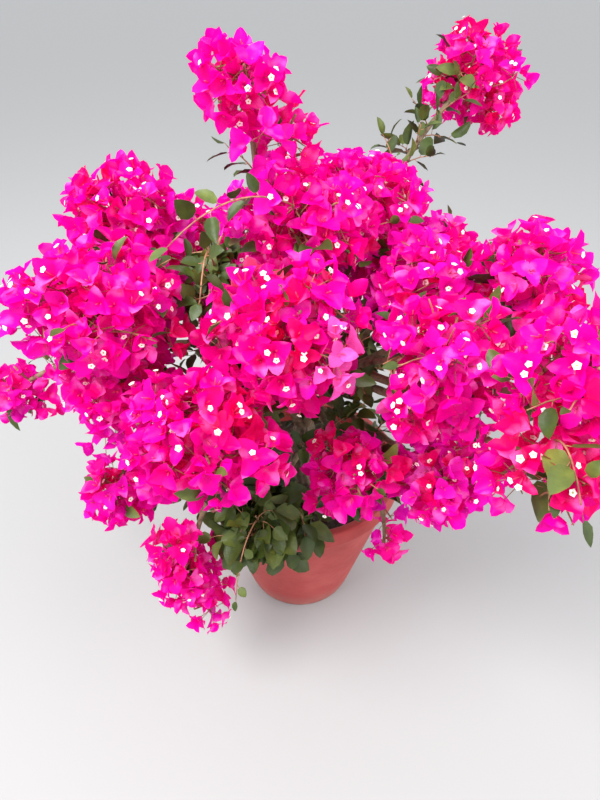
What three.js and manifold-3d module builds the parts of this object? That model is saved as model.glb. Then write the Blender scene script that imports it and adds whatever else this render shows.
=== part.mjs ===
// Bougainvillea bush in a round pot, in millimetres, +Z up.
// The origin is the centre of the pot's flat underside; -Y is the front, +X the right-hand side.
// One trunk rises from the soil, canes leave it and each other, and every cane ends in a mass:
// a stem with forking twigs that carry three-bracted blooms or green leaves.

import * as THREE from 'three';
import { mergeVertices } from 'three/addons/utils/BufferGeometryUtils.js';
import Module from 'manifold-3d';

const wasm = await Module();
wasm.setup();

// Clearance left between any two pieces, and round a limb that others keep clear of
const GAP = 0.3;
const LIMB_CLEARANCE = 1.5 * GAP;

// Pot: a tapering round pot with a rolled lip, filled with soil
const POT_HEIGHT = 320;
const POT_BASE_RADIUS = 108;
const POT_BASE_ROUND = 5;
const POT_NECK_RADIUS = 182;
const POT_LIP_RADIUS = 192;
const POT_LIP_HEIGHT = 34;
const POT_LIP_ROUND = 5;
const POT_WALL = 6;
const POT_FLOOR = 9;
const POT_SIDES = 32;
const SOIL_LEVEL = 284;

// Trunk: from the soil to the fork, leaning a little, with low root lobes at its foot
const TRUNK_TOP = 412;
const TRUNK_LEAN = [10, 8];
const TRUNK_FOOT_RADIUS = 30;
const TRUNK_WAIST_RADIUS = 20;
const TRUNK_HEAD_RADIUS = 17;
const TRUNK_FLARE_HEIGHT = 45;
const TRUNK_STEPS = 7;
const TRUNK_SIDES = 10;
const ROOT_LOBES = 5;
const ROOT_LOBE_DEPTH = 0.16;

// Canes: radius where they leave the trunk or another cane, and at their tip
const CANE_BASE_RADIUS = 9;
const SIDE_CANE_BASE_RADIUS = 6.5;
const CANE_TIP_RADIUS = 4;
const CANE_SIDES = 5;
const CANE_STEPS = 5;
const CANE_ENTERS_AT = 0.86;
const ENTRY_SOUGHT_FROM = 0.8;
const ENTRY_STEP = 0.005;

// Stem and twigs inside a mass
const STEM_TIP_RADIUS = 3.3;
const STEM_STEPS = 3;
const STEM_BEYOND_CENTRE = 0.3;
const STEM_SHORTENED_BY = 0.05;
const TRUNK_STEM_AT = 0.5;
const TWIG_ROOT_RADIUS = 2.2;
const TWIG_TIP_RADIUS = 1.7;
const TWIG_SIDES = 3;
const FORK_AT = 0.45;
const FORK_EVERY = 3;
const STEM_PLACES = 14;
const PLACE_TAKEN_WITHIN = 0.1;
const HEAD_SHARE = 0.3;

// Blooms and leaves, larger than life so that each stands for a spray
const BRACTS = 3;
const BRACT_LENGTH = 64;
const BRACT_SHARE_OF_GIRTH = 0.72;
const BRACT_HALF_WIDTH = 0.36;
const BRACT_SHOULDER_AT = 0.52;
const BRACT_CUP = 0.34;
const BRACT_TIP_RISE = 0.27;
const NOTCH_AT = 0.24;
const BLOOM_DEPTH = 0.09;
const LEAF_LENGTH = 74;
const LEAF_SHARE_OF_GIRTH = 0.85;
const LEAF_HALF_WIDTH = 0.3;
const LEAF_WIDEST_AT = 0.42;
const LEAF_THICKNESS = 0.08;
const LEAF_DROOP = 0.16;
const LEAF_ROOT_DEPTH = 2;
const LEAF_ROOT_STEP = 3.6;
const LEAF_FORWARD = 0.55;
const LEAVES_PER_TWIG = 3;
const SIZES_TRIED = [1, 0.8, 0.62];
const TRIES_PER_TWIG = 6;

// How a mass fills its space
const SPACE_MARGIN = 1;
const SHORTEST_TWIG = 0.25;
const REACH_STEP = 4;
const CORE_SHARE = 0.45;
const CROWN_HEART = new THREE.Vector3(0, -60, 620);
const CROWN_PULL = 0.8;
const LEAST_STRAIGHT = 0.15;
const DENSE_GIRTH = 75;
const TRY_STRIDE = 7;
const SPIN_JITTER = 0.7;
const FIRST_SEED = 101;
const SEED_STEP = 37;
const TOUCH_VOLUME = 0.001;
const NEARLY_UPRIGHT = 0.2;
const NEARLY_LEVEL = 0.8;
const GOLDEN_ANGLE = Math.PI * (3 - Math.sqrt(5));

const FINISHES = {
  blossom: { color: 0xf0128c, roughness: 0.6 },
  leaves: { color: 0x4c6f3c, roughness: 0.6 },
  bark: { color: 0x8b7358, roughness: 0.85 },
  pot: { color: 0xc2524f, roughness: 0.6 },
  soil: { color: 0x3b2b22, roughness: 0.95 },
};

// One mass of the crown. place is its centre: bearing in degrees from +X towards +Y, reach from
// the pot's axis and height. radii are its half sizes in X, Y and Z. cane says what its own cane
// leaves, at which share of that one's length, and where the cane bends: out is the share of its
// run and rise the share of its climb that the bend lies at. A mass with no cane stands on the trunk.
function mass(name, kind, place, radii, twigs, cane) {
  const [bearing, reach, height] = place;
  const angle = THREE.MathUtils.degToRad(bearing);
  const centre = new THREE.Vector3(reach * Math.cos(angle), reach * Math.sin(angle), height);
  const girth = (radii[0] + radii[1] + radii[2]) / 3;
  const [from, leave, out, rise] = cane;
  return { name, kind, centre, radii, girth, twigs, from, leave, out, rise };
}

const CROWN = [
  mass('heart', 'blossom', [-92, 225, 745], [125, 100, 105], 12, ['trunk', 0.96, 0.2, 0.8]),
  mass('mid_top', 'blossom', [-89, 78, 815], [112, 100, 92], 10, ['trunk', 0.99, 0.3, 0.6]),
  mass('rear_top', 'blossom', [55, 148, 762], [146, 122, 106], 9, ['trunk', 0.94, 0.3, 0.7]),
  mass('left', 'blossom', [-142, 305, 758], [136, 108, 86], 10, ['trunk', 0.9, 0.35, 0.7]),
  mass('right_mid', 'blossom', [-60, 318, 732], [108, 95, 96], 10, ['trunk', 0.92, 0.3, 0.75]),
  mass('left_top', 'blossom', [-173, 241, 799], [98, 108, 94], 9, ['trunk', 0.84, 0.3, 0.7]),
  mass('rear_right', 'blossom', [30, 235, 662], [135, 122, 116], 10, ['trunk', 0.86, 0.4, 0.6]),
  mass('rear_left', 'blossom', [138, 235, 660], [132, 125, 116], 10, ['trunk', 0.8, 0.4, 0.6]),
  mass('crest', 'blossom', [-145, 77, 980], [66, 56, 60], 8, ['mid_top', 0.7, 0.9, 0.3]),
  mass('neck', 'blossom', [-125, 24, 908], [56, 50, 54], 5, ['mid_top', 0.82, 0.1, 0.5]),
  mass('left_low', 'blossom', [-144, 304, 640], [94, 92, 80], 8, ['left', 0.5, 0.5, 0.4]),
  mass('front_left', 'blossom', [-112, 322, 648], [118, 98, 92], 11, ['heart', 0.4, 0.5, 0.6]),
  mass('right_shoulder', 'blossom', [-40, 214, 755], [92, 92, 90], 8, ['right_mid', 0.4, 0.3, 0.6]),
  mass('right_top', 'blossom', [-34, 327, 796], [78, 84, 78], 8, ['right_mid', 0.6, 0.5, 0.5]),
  mass('right_front', 'blossom', [-56, 463, 795], [88, 80, 78], 8, ['right_mid', 0.7, 0.6, 0.2]),
  mass('right_tip', 'blossom', [-60, 485, 703], [74, 64, 80], 8, ['right_mid', 0.55, 0.7, 0.9]),
  mass('right_low', 'blossom', [-50, 312, 516], [98, 84, 86], 8, ['right_mid', 0.3, 0.5, 1.1]),
  mass('low_mid', 'blossom', [-73, 249, 522], [76, 66, 84], 8, ['heart', 0.3, 0.6, 1.1]),
  mass('hang_left', 'blossom', [-147, 342, 430], [76, 66, 72], 7, ['left', 0.35, 0.9, -0.6]),
  mass('hang_low', 'blossom', [-127, 300, 292], [82, 66, 126], 9, ['heart', 0.25, 0.9, -0.1]),
  mass('hang_right', 'blossom', [-55, 243, 332], [42, 38, 36], 3, ['right_mid', 0.2, 0.95, -0.2]),
  mass('side_left', 'blossom', [-175, 478, 520], [54, 60, 74], 6, ['left_top', 0.5, 0.7, -0.5]),
  mass('back_shoot', 'blossom', [51, 503, 912], [108, 95, 102], 9, ['rear_top', 0.55, 0.45, 0.85]),
  mass('rear_low', 'blossom', [84, 280, 630], [145, 122, 120], 11, ['rear_left', 0.4, 0.5, 0.6]),
  mass('flank_left', 'blossom', [168, 322, 640], [116, 122, 110], 9, ['left_top', 0.3, 0.5, 0.6]),
  mass('flank_right', 'blossom', [3, 326, 640], [116, 122, 112], 10, ['rear_right', 0.3, 0.5, 0.6]),
  mass('sprig', 'leaves', [-132, 160, 772], [76, 72, 86], 8, ['left', 0.6, 0.2, 0.8]),
  mass('inner', 'leaves', [-140, 60, 600], [110, 105, 95], 8, ['trunk', 0.9, 0.5, 0.5]),
  mass('over_pot', 'leaves', [-108, 190, 362], [140, 92, 100], 11, []),
];

// A repeatable stream of numbers from 0 to 1
function seeded(seed) {
  let state = seed;
  return () => {
    state = (state * 1664525 + 1013904223) % 4294967296;
    return state / 4294967296;
  };
}

function solidFrom(positions, triangles) {
  return new wasm.Manifold(new wasm.Mesh({
    numProp: 3,
    vertProperties: new Float32Array(positions.flat()),
    triVerts: new Uint32Array(triangles.flat()),
  }));
}

function solidFromGeometry(geometry) {
  geometry.deleteAttribute('normal');
  geometry.deleteAttribute('uv');
  const merged = mergeVertices(geometry);
  return new wasm.Manifold(new wasm.Mesh({
    numProp: 3,
    vertProperties: merged.attributes.position.array,
    triVerts: merged.index.array,
  }));
}

function meshFrom(name, solid, finish) {
  const { vertProperties, triVerts } = solid.getMesh();
  const geometry = new THREE.BufferGeometry();
  geometry.setAttribute('position', new THREE.BufferAttribute(vertProperties, 3));
  geometry.setIndex(new THREE.BufferAttribute(triVerts, 1));
  const mesh = new THREE.Mesh(geometry, new THREE.MeshStandardMaterial(finish));
  mesh.name = name;
  return mesh;
}

function solidOf(shape) {
  return solidFrom(shape.points.map((point) => point.toArray()), shape.triangles);
}

// The piece of a cut body that holds most of it
function mainPiece(solid) {
  return solid.decompose().reduce((best, piece) => (piece.volume() > best.volume() ? piece : best));
}

function touch(one, other) {
  return one.intersect(other).volume() > TOUCH_VOLUME;
}

// A closed body with a ring of points round each station of a path and flat ends.
// radiusAt gives the radius at a station and an angle round it.
function sweep(points, tangents, radiusAt, sides) {
  const positions = [];
  const triangles = [];
  const across = new THREE.Vector3(1, 0, 0);
  if (Math.abs(tangents[0].x) > NEARLY_LEVEL) across.set(0, 1, 0);
  points.forEach((point, station) => {
    const along = tangents[station];
    across.addScaledVector(along, -across.dot(along)).normalize();
    const up = new THREE.Vector3().crossVectors(along, across);
    for (let side = 0; side < sides; side += 1) {
      const angle = (2 * Math.PI * side) / sides;
      const radius = radiusAt(station, angle);
      const corner = point.clone();
      corner.addScaledVector(across, radius * Math.cos(angle));
      corner.addScaledVector(up, radius * Math.sin(angle));
      positions.push(corner.toArray());
    }
  });
  const last = (points.length - 1) * sides;
  for (let ring = 0; ring < last; ring += sides) {
    for (let side = 0; side < sides; side += 1) {
      const next = (side + 1) % sides;
      triangles.push([ring + side, ring + next, ring + sides + next]);
      triangles.push([ring + side, ring + sides + next, ring + sides + side]);
    }
  }
  for (let side = 1; side < sides - 1; side += 1) {
    triangles.push([0, side + 1, side]);
    triangles.push([last, last + side, last + side + 1]);
  }
  return solidFrom(positions, triangles);
}

// A straight tapering rod
function rod(from, to, fromRadius, toRadius, sides) {
  const along = to.clone().sub(from).normalize();
  return sweep([from, to], [along, along], (station) => (station ? toRadius : fromRadius), sides);
}

// The stretch of a curve between two shares of it, tapering, swollen by a clearance on request
function limb(curve, start, end, startRadius, endRadius, steps, swell) {
  const points = [];
  const tangents = [];
  for (let step = 0; step <= steps; step += 1) {
    const share = start + ((end - start) * step) / steps;
    points.push(curve.getPoint(share));
    tangents.push(curve.getTangent(share));
  }
  const radiusAt = (station) => startRadius + ((endRadius - startRadius) * station) / steps + swell;
  return sweep(points, tangents, radiusAt, CANE_SIDES);
}

const LIP_FOOT = POT_HEIGHT - POT_LIP_HEIGHT;
const potInsideAt = (height) => (
  POT_BASE_RADIUS - POT_WALL + (height * (POT_NECK_RADIUS - POT_BASE_RADIUS)) / LIP_FOOT
);

function lathe(profile) {
  const points = profile.map(([radius, height]) => new THREE.Vector2(radius, height));
  return solidFromGeometry(new THREE.LatheGeometry(points, POT_SIDES).rotateX(Math.PI / 2));
}

function potSolid() {
  return lathe([
    [0, 0],
    [POT_BASE_RADIUS - POT_BASE_ROUND, 0],
    [POT_BASE_RADIUS, POT_BASE_ROUND],
    [POT_NECK_RADIUS, LIP_FOOT],
    [POT_LIP_RADIUS - POT_LIP_ROUND, LIP_FOOT],
    [POT_LIP_RADIUS, LIP_FOOT + POT_LIP_ROUND],
    [POT_LIP_RADIUS, POT_HEIGHT - POT_LIP_ROUND],
    [POT_LIP_RADIUS - POT_LIP_ROUND, POT_HEIGHT],
    [POT_NECK_RADIUS - POT_WALL + POT_LIP_ROUND, POT_HEIGHT],
    [POT_NECK_RADIUS - POT_WALL, POT_HEIGHT - POT_LIP_ROUND],
    [potInsideAt(LIP_FOOT), LIP_FOOT],
    [potInsideAt(POT_FLOOR), POT_FLOOR],
    [0, POT_FLOOR],
  ]);
}

// The soil fills the pot, clear of its wall and floor
function soilSolid() {
  return lathe([
    [0, POT_FLOOR + GAP],
    [potInsideAt(POT_FLOOR) - 2 * GAP, POT_FLOOR + GAP],
    [potInsideAt(SOIL_LEVEL) - 2 * GAP, SOIL_LEVEL],
    [0, SOIL_LEVEL],
  ]);
}

// The trunk's axis bends into its lean; its foot is cut flat just above the soil
const trunkCurve = new THREE.QuadraticBezierCurve3(
  new THREE.Vector3(0, 0, SOIL_LEVEL + GAP),
  new THREE.Vector3(0, 0, (SOIL_LEVEL + TRUNK_TOP) / 2),
  new THREE.Vector3(TRUNK_LEAN[0], TRUNK_LEAN[1], TRUNK_TOP),
);

function trunkSolid(swell) {
  const points = [];
  const tangents = [];
  for (let step = 0; step <= TRUNK_STEPS; step += 1) {
    points.push(trunkCurve.getPoint(step / TRUNK_STEPS));
    tangents.push(step ? trunkCurve.getTangent(step / TRUNK_STEPS) : new THREE.Vector3(0, 0, 1));
  }
  const radiusAt = (station, angle) => {
    const height = points[station].z - SOIL_LEVEL;
    const flare = Math.max(0, 1 - height / TRUNK_FLARE_HEIGHT) ** 2;
    const climb = station / TRUNK_STEPS;
    const shaft = TRUNK_WAIST_RADIUS + (TRUNK_HEAD_RADIUS - TRUNK_WAIST_RADIUS) * climb;
    const lobe = 1 + ROOT_LOBE_DEPTH * flare * Math.cos(ROOT_LOBES * angle);
    return (shaft + (TRUNK_FOOT_RADIUS - TRUNK_WAIST_RADIUS) * flare) * lobe + swell;
  };
  return sweep(points, tangents, radiusAt, TRUNK_SIDES);
}

// How far out a point lies in a mass's ellipsoid: 0 at its centre, 1 on its skin
function depthIn(part, point) {
  const off = point.clone().sub(part.centre);
  return Math.hypot(off.x / part.radii[0], off.y / part.radii[1], off.z / part.radii[2]);
}

// Whether every point lies in the mass's own space: inside its ellipsoid, and on its own side of
// the plane that parts it from each neighbour
function fits(part, points, margin) {
  return points.every((point) => {
    if (depthIn(part, point) > 1) return false;
    const own = point.distanceToSquared(part.centre) - part.girth ** 2;
    return CROWN.every((other) => {
      if (other === part) return true;
      const theirs = point.distanceToSquared(other.centre) - other.girth ** 2;
      return (theirs - own) / (2 * part.centre.distanceTo(other.centre)) > margin;
    });
  });
}

// The cane's whole run, from where it leaves to the middle of its mass and a little beyond
function caneCurve(part) {
  const parent = canes[part.from];
  const start = parent.curve.getPoint(part.leave * parent.end);
  const bend = start.clone().lerp(part.centre, part.out);
  bend.z = start.z + part.rise * (part.centre.z - start.z);
  const inward = part.centre.clone().sub(bend).normalize();
  const end = part.centre.clone().addScaledVector(inward, STEM_BEYOND_CENTRE * part.girth);
  return new THREE.QuadraticBezierCurve3(start, bend, end);
}

// The share of the cane's run at which it enters its mass
function entry(part, curve) {
  let share = ENTRY_SOUGHT_FROM;
  const inside = (point) => (
    depthIn(part, point) < CANE_ENTERS_AT && fits(part, [point], 2 * CANE_TIP_RADIUS)
  );
  while (share > 0 && inside(curve.getPoint(share))) share -= ENTRY_STEP;
  return share;
}

const trunk = trunkSolid(0);
const canes = { trunk: { curve: trunkCurve, end: 1 } };
let keepOut = trunkSolid(LIMB_CLEARANCE);
const caneParts = CROWN.filter((part) => part.from);

caneParts.forEach((part) => {
  const curve = caneCurve(part);
  const end = entry(part, curve);
  const baseRadius = part.from === 'trunk' ? CANE_BASE_RADIUS : SIDE_CANE_BASE_RADIUS;
  const swollen = (swell) => limb(curve, 0, end, baseRadius, CANE_TIP_RADIUS, CANE_STEPS, swell);
  const solid = mainPiece(swollen(0).subtract(keepOut));
  canes[part.name] = { curve, end, solid };
  keepOut = keepOut.add(swollen(LIMB_CLEARANCE));
});

const pot = potSolid();
const soil = soilSolid();
keepOut = keepOut.add(pot).add(soil);

// A mass with no cane grows from the trunk: its stem starts clear of the trunk's skin
function stemCurve(part) {
  if (part.from) return canes[part.name].curve;
  const foot = trunkCurve.getPoint(TRUNK_STEM_AT);
  const away = part.centre.clone().sub(foot).normalize();
  const reach = TRUNK_WAIST_RADIUS / Math.hypot(away.x, away.y);
  const start = foot.clone().addScaledVector(away, reach + 2 * GAP);
  const end = part.centre.clone().addScaledVector(away, STEM_BEYOND_CENTRE * part.girth);
  return new THREE.QuadraticBezierCurve3(start, start.clone().lerp(end, 0.5), end);
}

// The stem runs on from the cane's tip through the middle of the mass, and stops short of a limb
function stemOf(part) {
  const curve = stemCurve(part);
  const length = curve.getLength();
  const start = part.from ? canes[part.name].end + GAP / length : 0;
  const upTo = (end) => limb(curve, start, end, CANE_TIP_RADIUS, STEM_TIP_RADIUS, STEM_STEPS, 0);
  let end = 1;
  while (touch(upTo(end), keepOut)) end -= STEM_SHORTENED_BY * (1 - start);
  return { curve, start, end, solid: upTo(end) };
}

// Two directions square to one another and to a third, turned about it
function frameRound(facing, turn) {
  const side = new THREE.Vector3(0, 0, 1).cross(facing);
  if (side.length() < NEARLY_UPRIGHT) side.set(1, 0, 0).cross(facing);
  side.normalize().applyAxisAngle(facing, turn);
  return [side, new THREE.Vector3().crossVectors(facing, side)];
}

// A twig with one bloom at its end, as one closed body: three cupped bracts round a hollow middle,
// whose back narrows straight into the three sides of the twig
function bloomOnTwig(root, at, facing, turn, size) {
  const [side, up] = frameRound(facing, turn);
  const place = (radius, angle, rise) => at.clone()
    .addScaledVector(side, radius * size * Math.cos(angle))
    .addScaledVector(up, radius * size * Math.sin(angle))
    .addScaledVector(facing, rise * size);
  const shoulder = Math.atan2(BRACT_HALF_WIDTH, BRACT_SHOULDER_AT);
  const shoulderRadius = Math.hypot(BRACT_HALF_WIDTH, BRACT_SHOULDER_AT);
  const outline = [];
  const neck = [];
  const foot = [];
  const along = at.clone().sub(root).normalize();
  for (let bract = 0; bract < BRACTS; bract += 1) {
    const middle = (2 * Math.PI * bract) / BRACTS;
    outline.push(place(NOTCH_AT, middle - Math.PI / BRACTS, BRACT_CUP * NOTCH_AT));
    outline.push(place(shoulderRadius, middle - shoulder, BRACT_CUP));
    outline.push(place(1, middle, BRACT_TIP_RISE));
    outline.push(place(shoulderRadius, middle + shoulder, BRACT_CUP));
    const spoke = side.clone().multiplyScalar(Math.cos(middle)).addScaledVector(up, Math.sin(middle));
    neck.push(place(0, 0, -BLOOM_DEPTH).addScaledVector(spoke, TWIG_TIP_RADIUS));
    spoke.addScaledVector(along, -spoke.dot(along)).normalize();
    foot.push(root.clone().addScaledVector(spoke, TWIG_ROOT_RADIUS));
  }
  const count = outline.length;
  const perBract = count / BRACTS;
  const neckAt = 1 + count;
  const footAt = neckAt + BRACTS;
  const triangles = [[footAt, footAt + 2, footAt + 1]];
  for (let corner = 0; corner < count; corner += 1) {
    const next = (corner + 1) % count;
    const bract = Math.floor(corner / perBract);
    triangles.push([0, 1 + corner, 1 + next]);
    triangles.push([neckAt + bract, 1 + next, 1 + corner]);
  }
  for (let bract = 0; bract < BRACTS; bract += 1) {
    const next = (bract + 1) % BRACTS;
    triangles.push([neckAt + bract, neckAt + next, 1 + next * perBract]);
    triangles.push([footAt + bract, footAt + next, neckAt + next]);
    triangles.push([footAt + bract, neckAt + next, neckAt + bract]);
  }
  return { outline, points: [at, ...outline, ...neck, ...foot], triangles };
}

// One leaf: a pointed lens of eight faces, drooping to its tip
function leafShape(root, along, size) {
  const [side] = frameRound(along, 0);
  const lift = new THREE.Vector3().crossVectors(along, side);
  if (lift.z < 0) lift.negate();
  const place = (run, across, height) => root.clone()
    .addScaledVector(along, run * size)
    .addScaledVector(side, across * size)
    .addScaledVector(lift, height * size);
  const points = [
    place(0, 0, 0),
    place(LEAF_WIDEST_AT, LEAF_HALF_WIDTH, 0),
    place(1, 0, -LEAF_DROOP),
    place(LEAF_WIDEST_AT, -LEAF_HALF_WIDTH, 0),
    place(LEAF_WIDEST_AT, 0, LEAF_THICKNESS / 2),
    place(LEAF_WIDEST_AT, 0, -LEAF_THICKNESS / 2),
  ];
  const upward = new THREE.Vector3().crossVectors(along, side).dot(lift) > 0;
  const triangles = [];
  for (let corner = 0; corner < 4; corner += 1) {
    const next = (corner + 1) % 4;
    const [first, second] = upward ? [next, corner] : [corner, next];
    triangles.push([4, first, second], [5, second, first]);
  }
  return { points, triangles };
}

// The leaves at the end of one twig
function leafSpray(at, facing, turn, size) {
  const [side, up] = frameRound(facing, turn);
  const shapes = [];
  for (let leaf = 0; leaf < LEAVES_PER_TWIG; leaf += 1) {
    const angle = (2 * Math.PI * leaf) / LEAVES_PER_TWIG;
    const along = facing.clone().multiplyScalar(LEAF_FORWARD);
    along.addScaledVector(side, Math.cos(angle)).addScaledVector(up, Math.sin(angle)).normalize();
    const root = at.clone().addScaledVector(facing, -LEAF_ROOT_DEPTH - LEAF_ROOT_STEP * leaf);
    shapes.push(leafShape(root, along, size));
  }
  return shapes;
}

// A twig with what it carries, and the points that have to keep to the mass's space
function twigWithSpray(part, root, at, facing, turn, share) {
  if (part.kind === 'blossom') {
    const size = share * Math.min(BRACT_LENGTH, BRACT_SHARE_OF_GIRTH * part.girth);
    return {
      outline: bloomOnTwig(root, at, facing, turn, size).outline,
      build: (from) => solidOf(bloomOnTwig(from, at, facing, turn, size)),
    };
  }
  const length = share * Math.min(LEAF_LENGTH, LEAF_SHARE_OF_GIRTH * part.girth);
  const leaves = leafSpray(at, facing, turn, length);
  return {
    outline: leaves.flatMap((leaf) => leaf.points),
    build: (from) => leaves.reduce(
      (twig, leaf) => twig.add(solidOf(leaf)),
      rod(from, at, TWIG_ROOT_RADIUS, TWIG_TIP_RADIUS, TWIG_SIDES),
    ),
  };
}

// Where a new twig leaves: from the nearest free place on the stem, or partway along a twig
function twigRoot(stem, twigs, at) {
  const forks = twigs.length % FORK_EVERY === FORK_EVERY - 1;
  const choices = [];
  if (forks) {
    twigs.forEach((twig) => choices.push(twig.root.clone().lerp(twig.at, FORK_AT)));
  } else {
    for (let place = 1; place < STEM_PLACES; place += 1) {
      const share = stem.start + ((stem.end - stem.start) * place) / STEM_PLACES;
      const point = stem.curve.getPoint(share);
      const free = twigs.every((twig) => twig.root.distanceTo(point) > PLACE_TAKEN_WITHIN);
      if (free) choices.push(point);
    }
  }
  return choices.reduce((best, point) => (point.distanceTo(at) < best.distanceTo(at) ? point : best));
}

// The furthest twig along a direction that keeps to the mass's space, or none
function furthestTwig(part, stem, twigs, direction, facing, turn, share) {
  const start = Math.max(...part.radii);
  for (let out = start; out > SHORTEST_TWIG * part.girth; out -= REACH_STEP) {
    const at = part.centre.clone().addScaledVector(direction, out);
    const root = twigRoot(stem, twigs, at);
    const twig = twigWithSpray(part, root, at, facing, turn, share);
    const straightness = at.clone().sub(root).normalize().dot(facing);
    if (straightness < LEAST_STRAIGHT || !fits(part, twig.outline, SPACE_MARGIN)) continue;
    return { root, at, ...twig };
  }
  return null;
}

// The core of a dense mass: a small ellipsoid that the twigs stand out of
function coreOf(part) {
  const core = new THREE.IcosahedronGeometry(CORE_SHARE, 0).scale(...part.radii);
  return solidFromGeometry(core.translate(...part.centre.toArray()));
}

// A mass: stem, core where it is dense, and twigs in directions spread evenly over the sphere.
// Every third twig forks from an earlier one; one that would leave the space, touch a limb or
// run through an earlier bloom is tried smaller and then left out.
function growMass(part, index) {
  const random = seeded(FIRST_SEED + SEED_STEP * index);
  const stem = stemOf(part);
  const outward = part.centre.clone().sub(CROWN_HEART).normalize();
  let solid = stem.solid;
  if (part.kind === 'blossom' && part.girth > DENSE_GIRTH) {
    const core = coreOf(part);
    if (!touch(core, keepOut)) solid = solid.add(core);
  }
  const twigs = [];
  const tries = part.twigs * TRIES_PER_TWIG;
  for (let count = 0; count < tries && twigs.length < part.twigs; count += 1) {
    const step = (count * TRY_STRIDE) % tries;
    const climb = 1 - (2 * (step + 0.5)) / tries;
    const spin = GOLDEN_ANGLE * step + random() * SPIN_JITTER;
    const ring = Math.sqrt(1 - climb * climb);
    const direction = new THREE.Vector3(ring * Math.cos(spin), ring * Math.sin(spin), climb);
    const facing = direction.clone().addScaledVector(outward, CROWN_PULL).normalize();
    const turn = random() * Math.PI * 2;
    for (const share of SIZES_TRIED) {
      const found = furthestTwig(part, stem, twigs, direction, facing, turn, share);
      if (!found) continue;
      const piece = found.build(found.root);
      const head = found.build(found.at.clone().lerp(found.root, HEAD_SHARE));
      if (touch(piece, keepOut) || touch(head, solid)) continue;
      if (twigs.some((other) => touch(piece, other.head))) continue;
      solid = solid.add(piece);
      twigs.push({ ...found, head });
      break;
    }
  }
  return mainPiece(solid);
}

const group = new THREE.Group();
group.add(meshFrom('pot', pot, FINISHES.pot));
group.add(meshFrom('soil', soil, FINISHES.soil));
group.add(meshFrom('trunk', trunk, FINISHES.bark));
caneParts.forEach((part) => {
  group.add(meshFrom(`cane_${part.name}`, canes[part.name].solid, FINISHES.bark));
});
CROWN.forEach((part, index) => {
  group.add(meshFrom(`${part.kind}_${part.name}`, growMass(part, index), FINISHES[part.kind]));
});

export default group;
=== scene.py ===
import math
from dataclasses import dataclass

import bpy
import numpy as np
from mathutils.kdtree import KDTree
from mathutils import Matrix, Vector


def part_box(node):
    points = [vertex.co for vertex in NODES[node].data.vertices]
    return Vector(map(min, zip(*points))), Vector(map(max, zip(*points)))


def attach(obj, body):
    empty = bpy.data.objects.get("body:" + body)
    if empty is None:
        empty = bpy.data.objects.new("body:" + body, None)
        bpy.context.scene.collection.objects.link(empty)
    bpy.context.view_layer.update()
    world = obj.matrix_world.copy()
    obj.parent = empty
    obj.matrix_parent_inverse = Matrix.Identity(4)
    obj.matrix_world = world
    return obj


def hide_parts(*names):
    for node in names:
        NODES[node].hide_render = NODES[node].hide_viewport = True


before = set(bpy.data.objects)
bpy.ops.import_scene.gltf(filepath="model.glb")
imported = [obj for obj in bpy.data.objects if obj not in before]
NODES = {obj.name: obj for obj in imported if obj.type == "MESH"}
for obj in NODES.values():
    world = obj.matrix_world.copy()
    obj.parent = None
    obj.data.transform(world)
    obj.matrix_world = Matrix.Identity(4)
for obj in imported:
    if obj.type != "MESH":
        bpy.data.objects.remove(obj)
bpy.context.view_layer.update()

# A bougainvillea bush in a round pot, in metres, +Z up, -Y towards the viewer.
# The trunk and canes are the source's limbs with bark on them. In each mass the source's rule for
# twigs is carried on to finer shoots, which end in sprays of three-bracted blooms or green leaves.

POT_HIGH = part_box("pot")[1]
SOIL_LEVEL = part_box("soil")[1].z
UP = np.array([0.0, 0.0, 1.0])
GOLDEN_ANGLE = math.pi * (3 - math.sqrt(5))

# Pot
POT_HEIGHT = POT_HIGH.z
POT_LIP_RADIUS = POT_HIGH.x
POT_BASE_RADIUS = 0.108
POT_BASE_ROUND = 0.005
POT_NECK_RADIUS = 0.182
POT_LIP_HEIGHT = 0.034
POT_LIP_ROUND = 0.005
POT_RIM_ROUND = 0.003
POT_GROOVE = 0.0005
POT_OUT_OF_ROUND = 0.0016
POT_WALL = 0.006
POT_FLOOR = 0.009
POT_SIDES = 144
POT_KEEP_OUT = 0.004
POT_LIP_FOOT = POT_HEIGHT - POT_LIP_HEIGHT
POT_SLOPE = (POT_NECK_RADIUS - POT_BASE_RADIUS) / POT_LIP_FOOT
NEAR_AXIS = 0.0005

# Soil and the bark chips that lie on it
SOIL_RINGS = 44
SOIL_SIDES = 120
SOIL_SUNK = 0.0035
SOIL_EDGE_SUNK = 0.006
SOIL_THICKNESS = 0.03
SOIL_GAP = 0.0006
SOIL_MOUND = (0.002, 0.05)
SOIL_WAVES = (40, 75, 130, 240)
SOIL_ROUGHNESS = 0.16
CHIPS = 520
CHIP_SIZES = ((0.002, 0.0015, 0.0006), (0.007, 0.0045, 0.0018))
CHIPS_SUNK = 0.003
CHIPS_CLEAR_OF_WALL = 0.012

# Trunk
TRUNK_TOP = 0.412
TRUNK_LEAN = (0.010, 0.008)
TRUNK_FOOT_RADIUS = 0.030
TRUNK_WAIST_RADIUS = 0.020
TRUNK_HEAD_RADIUS = 0.017
TRUNK_FLARE_HEIGHT = 0.045
TRUNK_SUNK = 0.006
TRUNK_RINGS = 90
TRUNK_SIDES = 72
ROOT_LOBES = 5
ROOT_LOBE_DEPTH = 0.16
BARK_RIDGE = 0.0016
BARK_WAVES = ((5, 9.0, 0.9), (8, -14.0, 0.7), (13, 31.0, 0.55), (21, -70.0, 0.4))
KNUCKLE_AT = 0.86
KNUCKLE_SWELL = 0.16
KNUCKLE_SPREAD = 0.08
TRUNK_ROUNDED_FROM = 0.93

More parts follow.
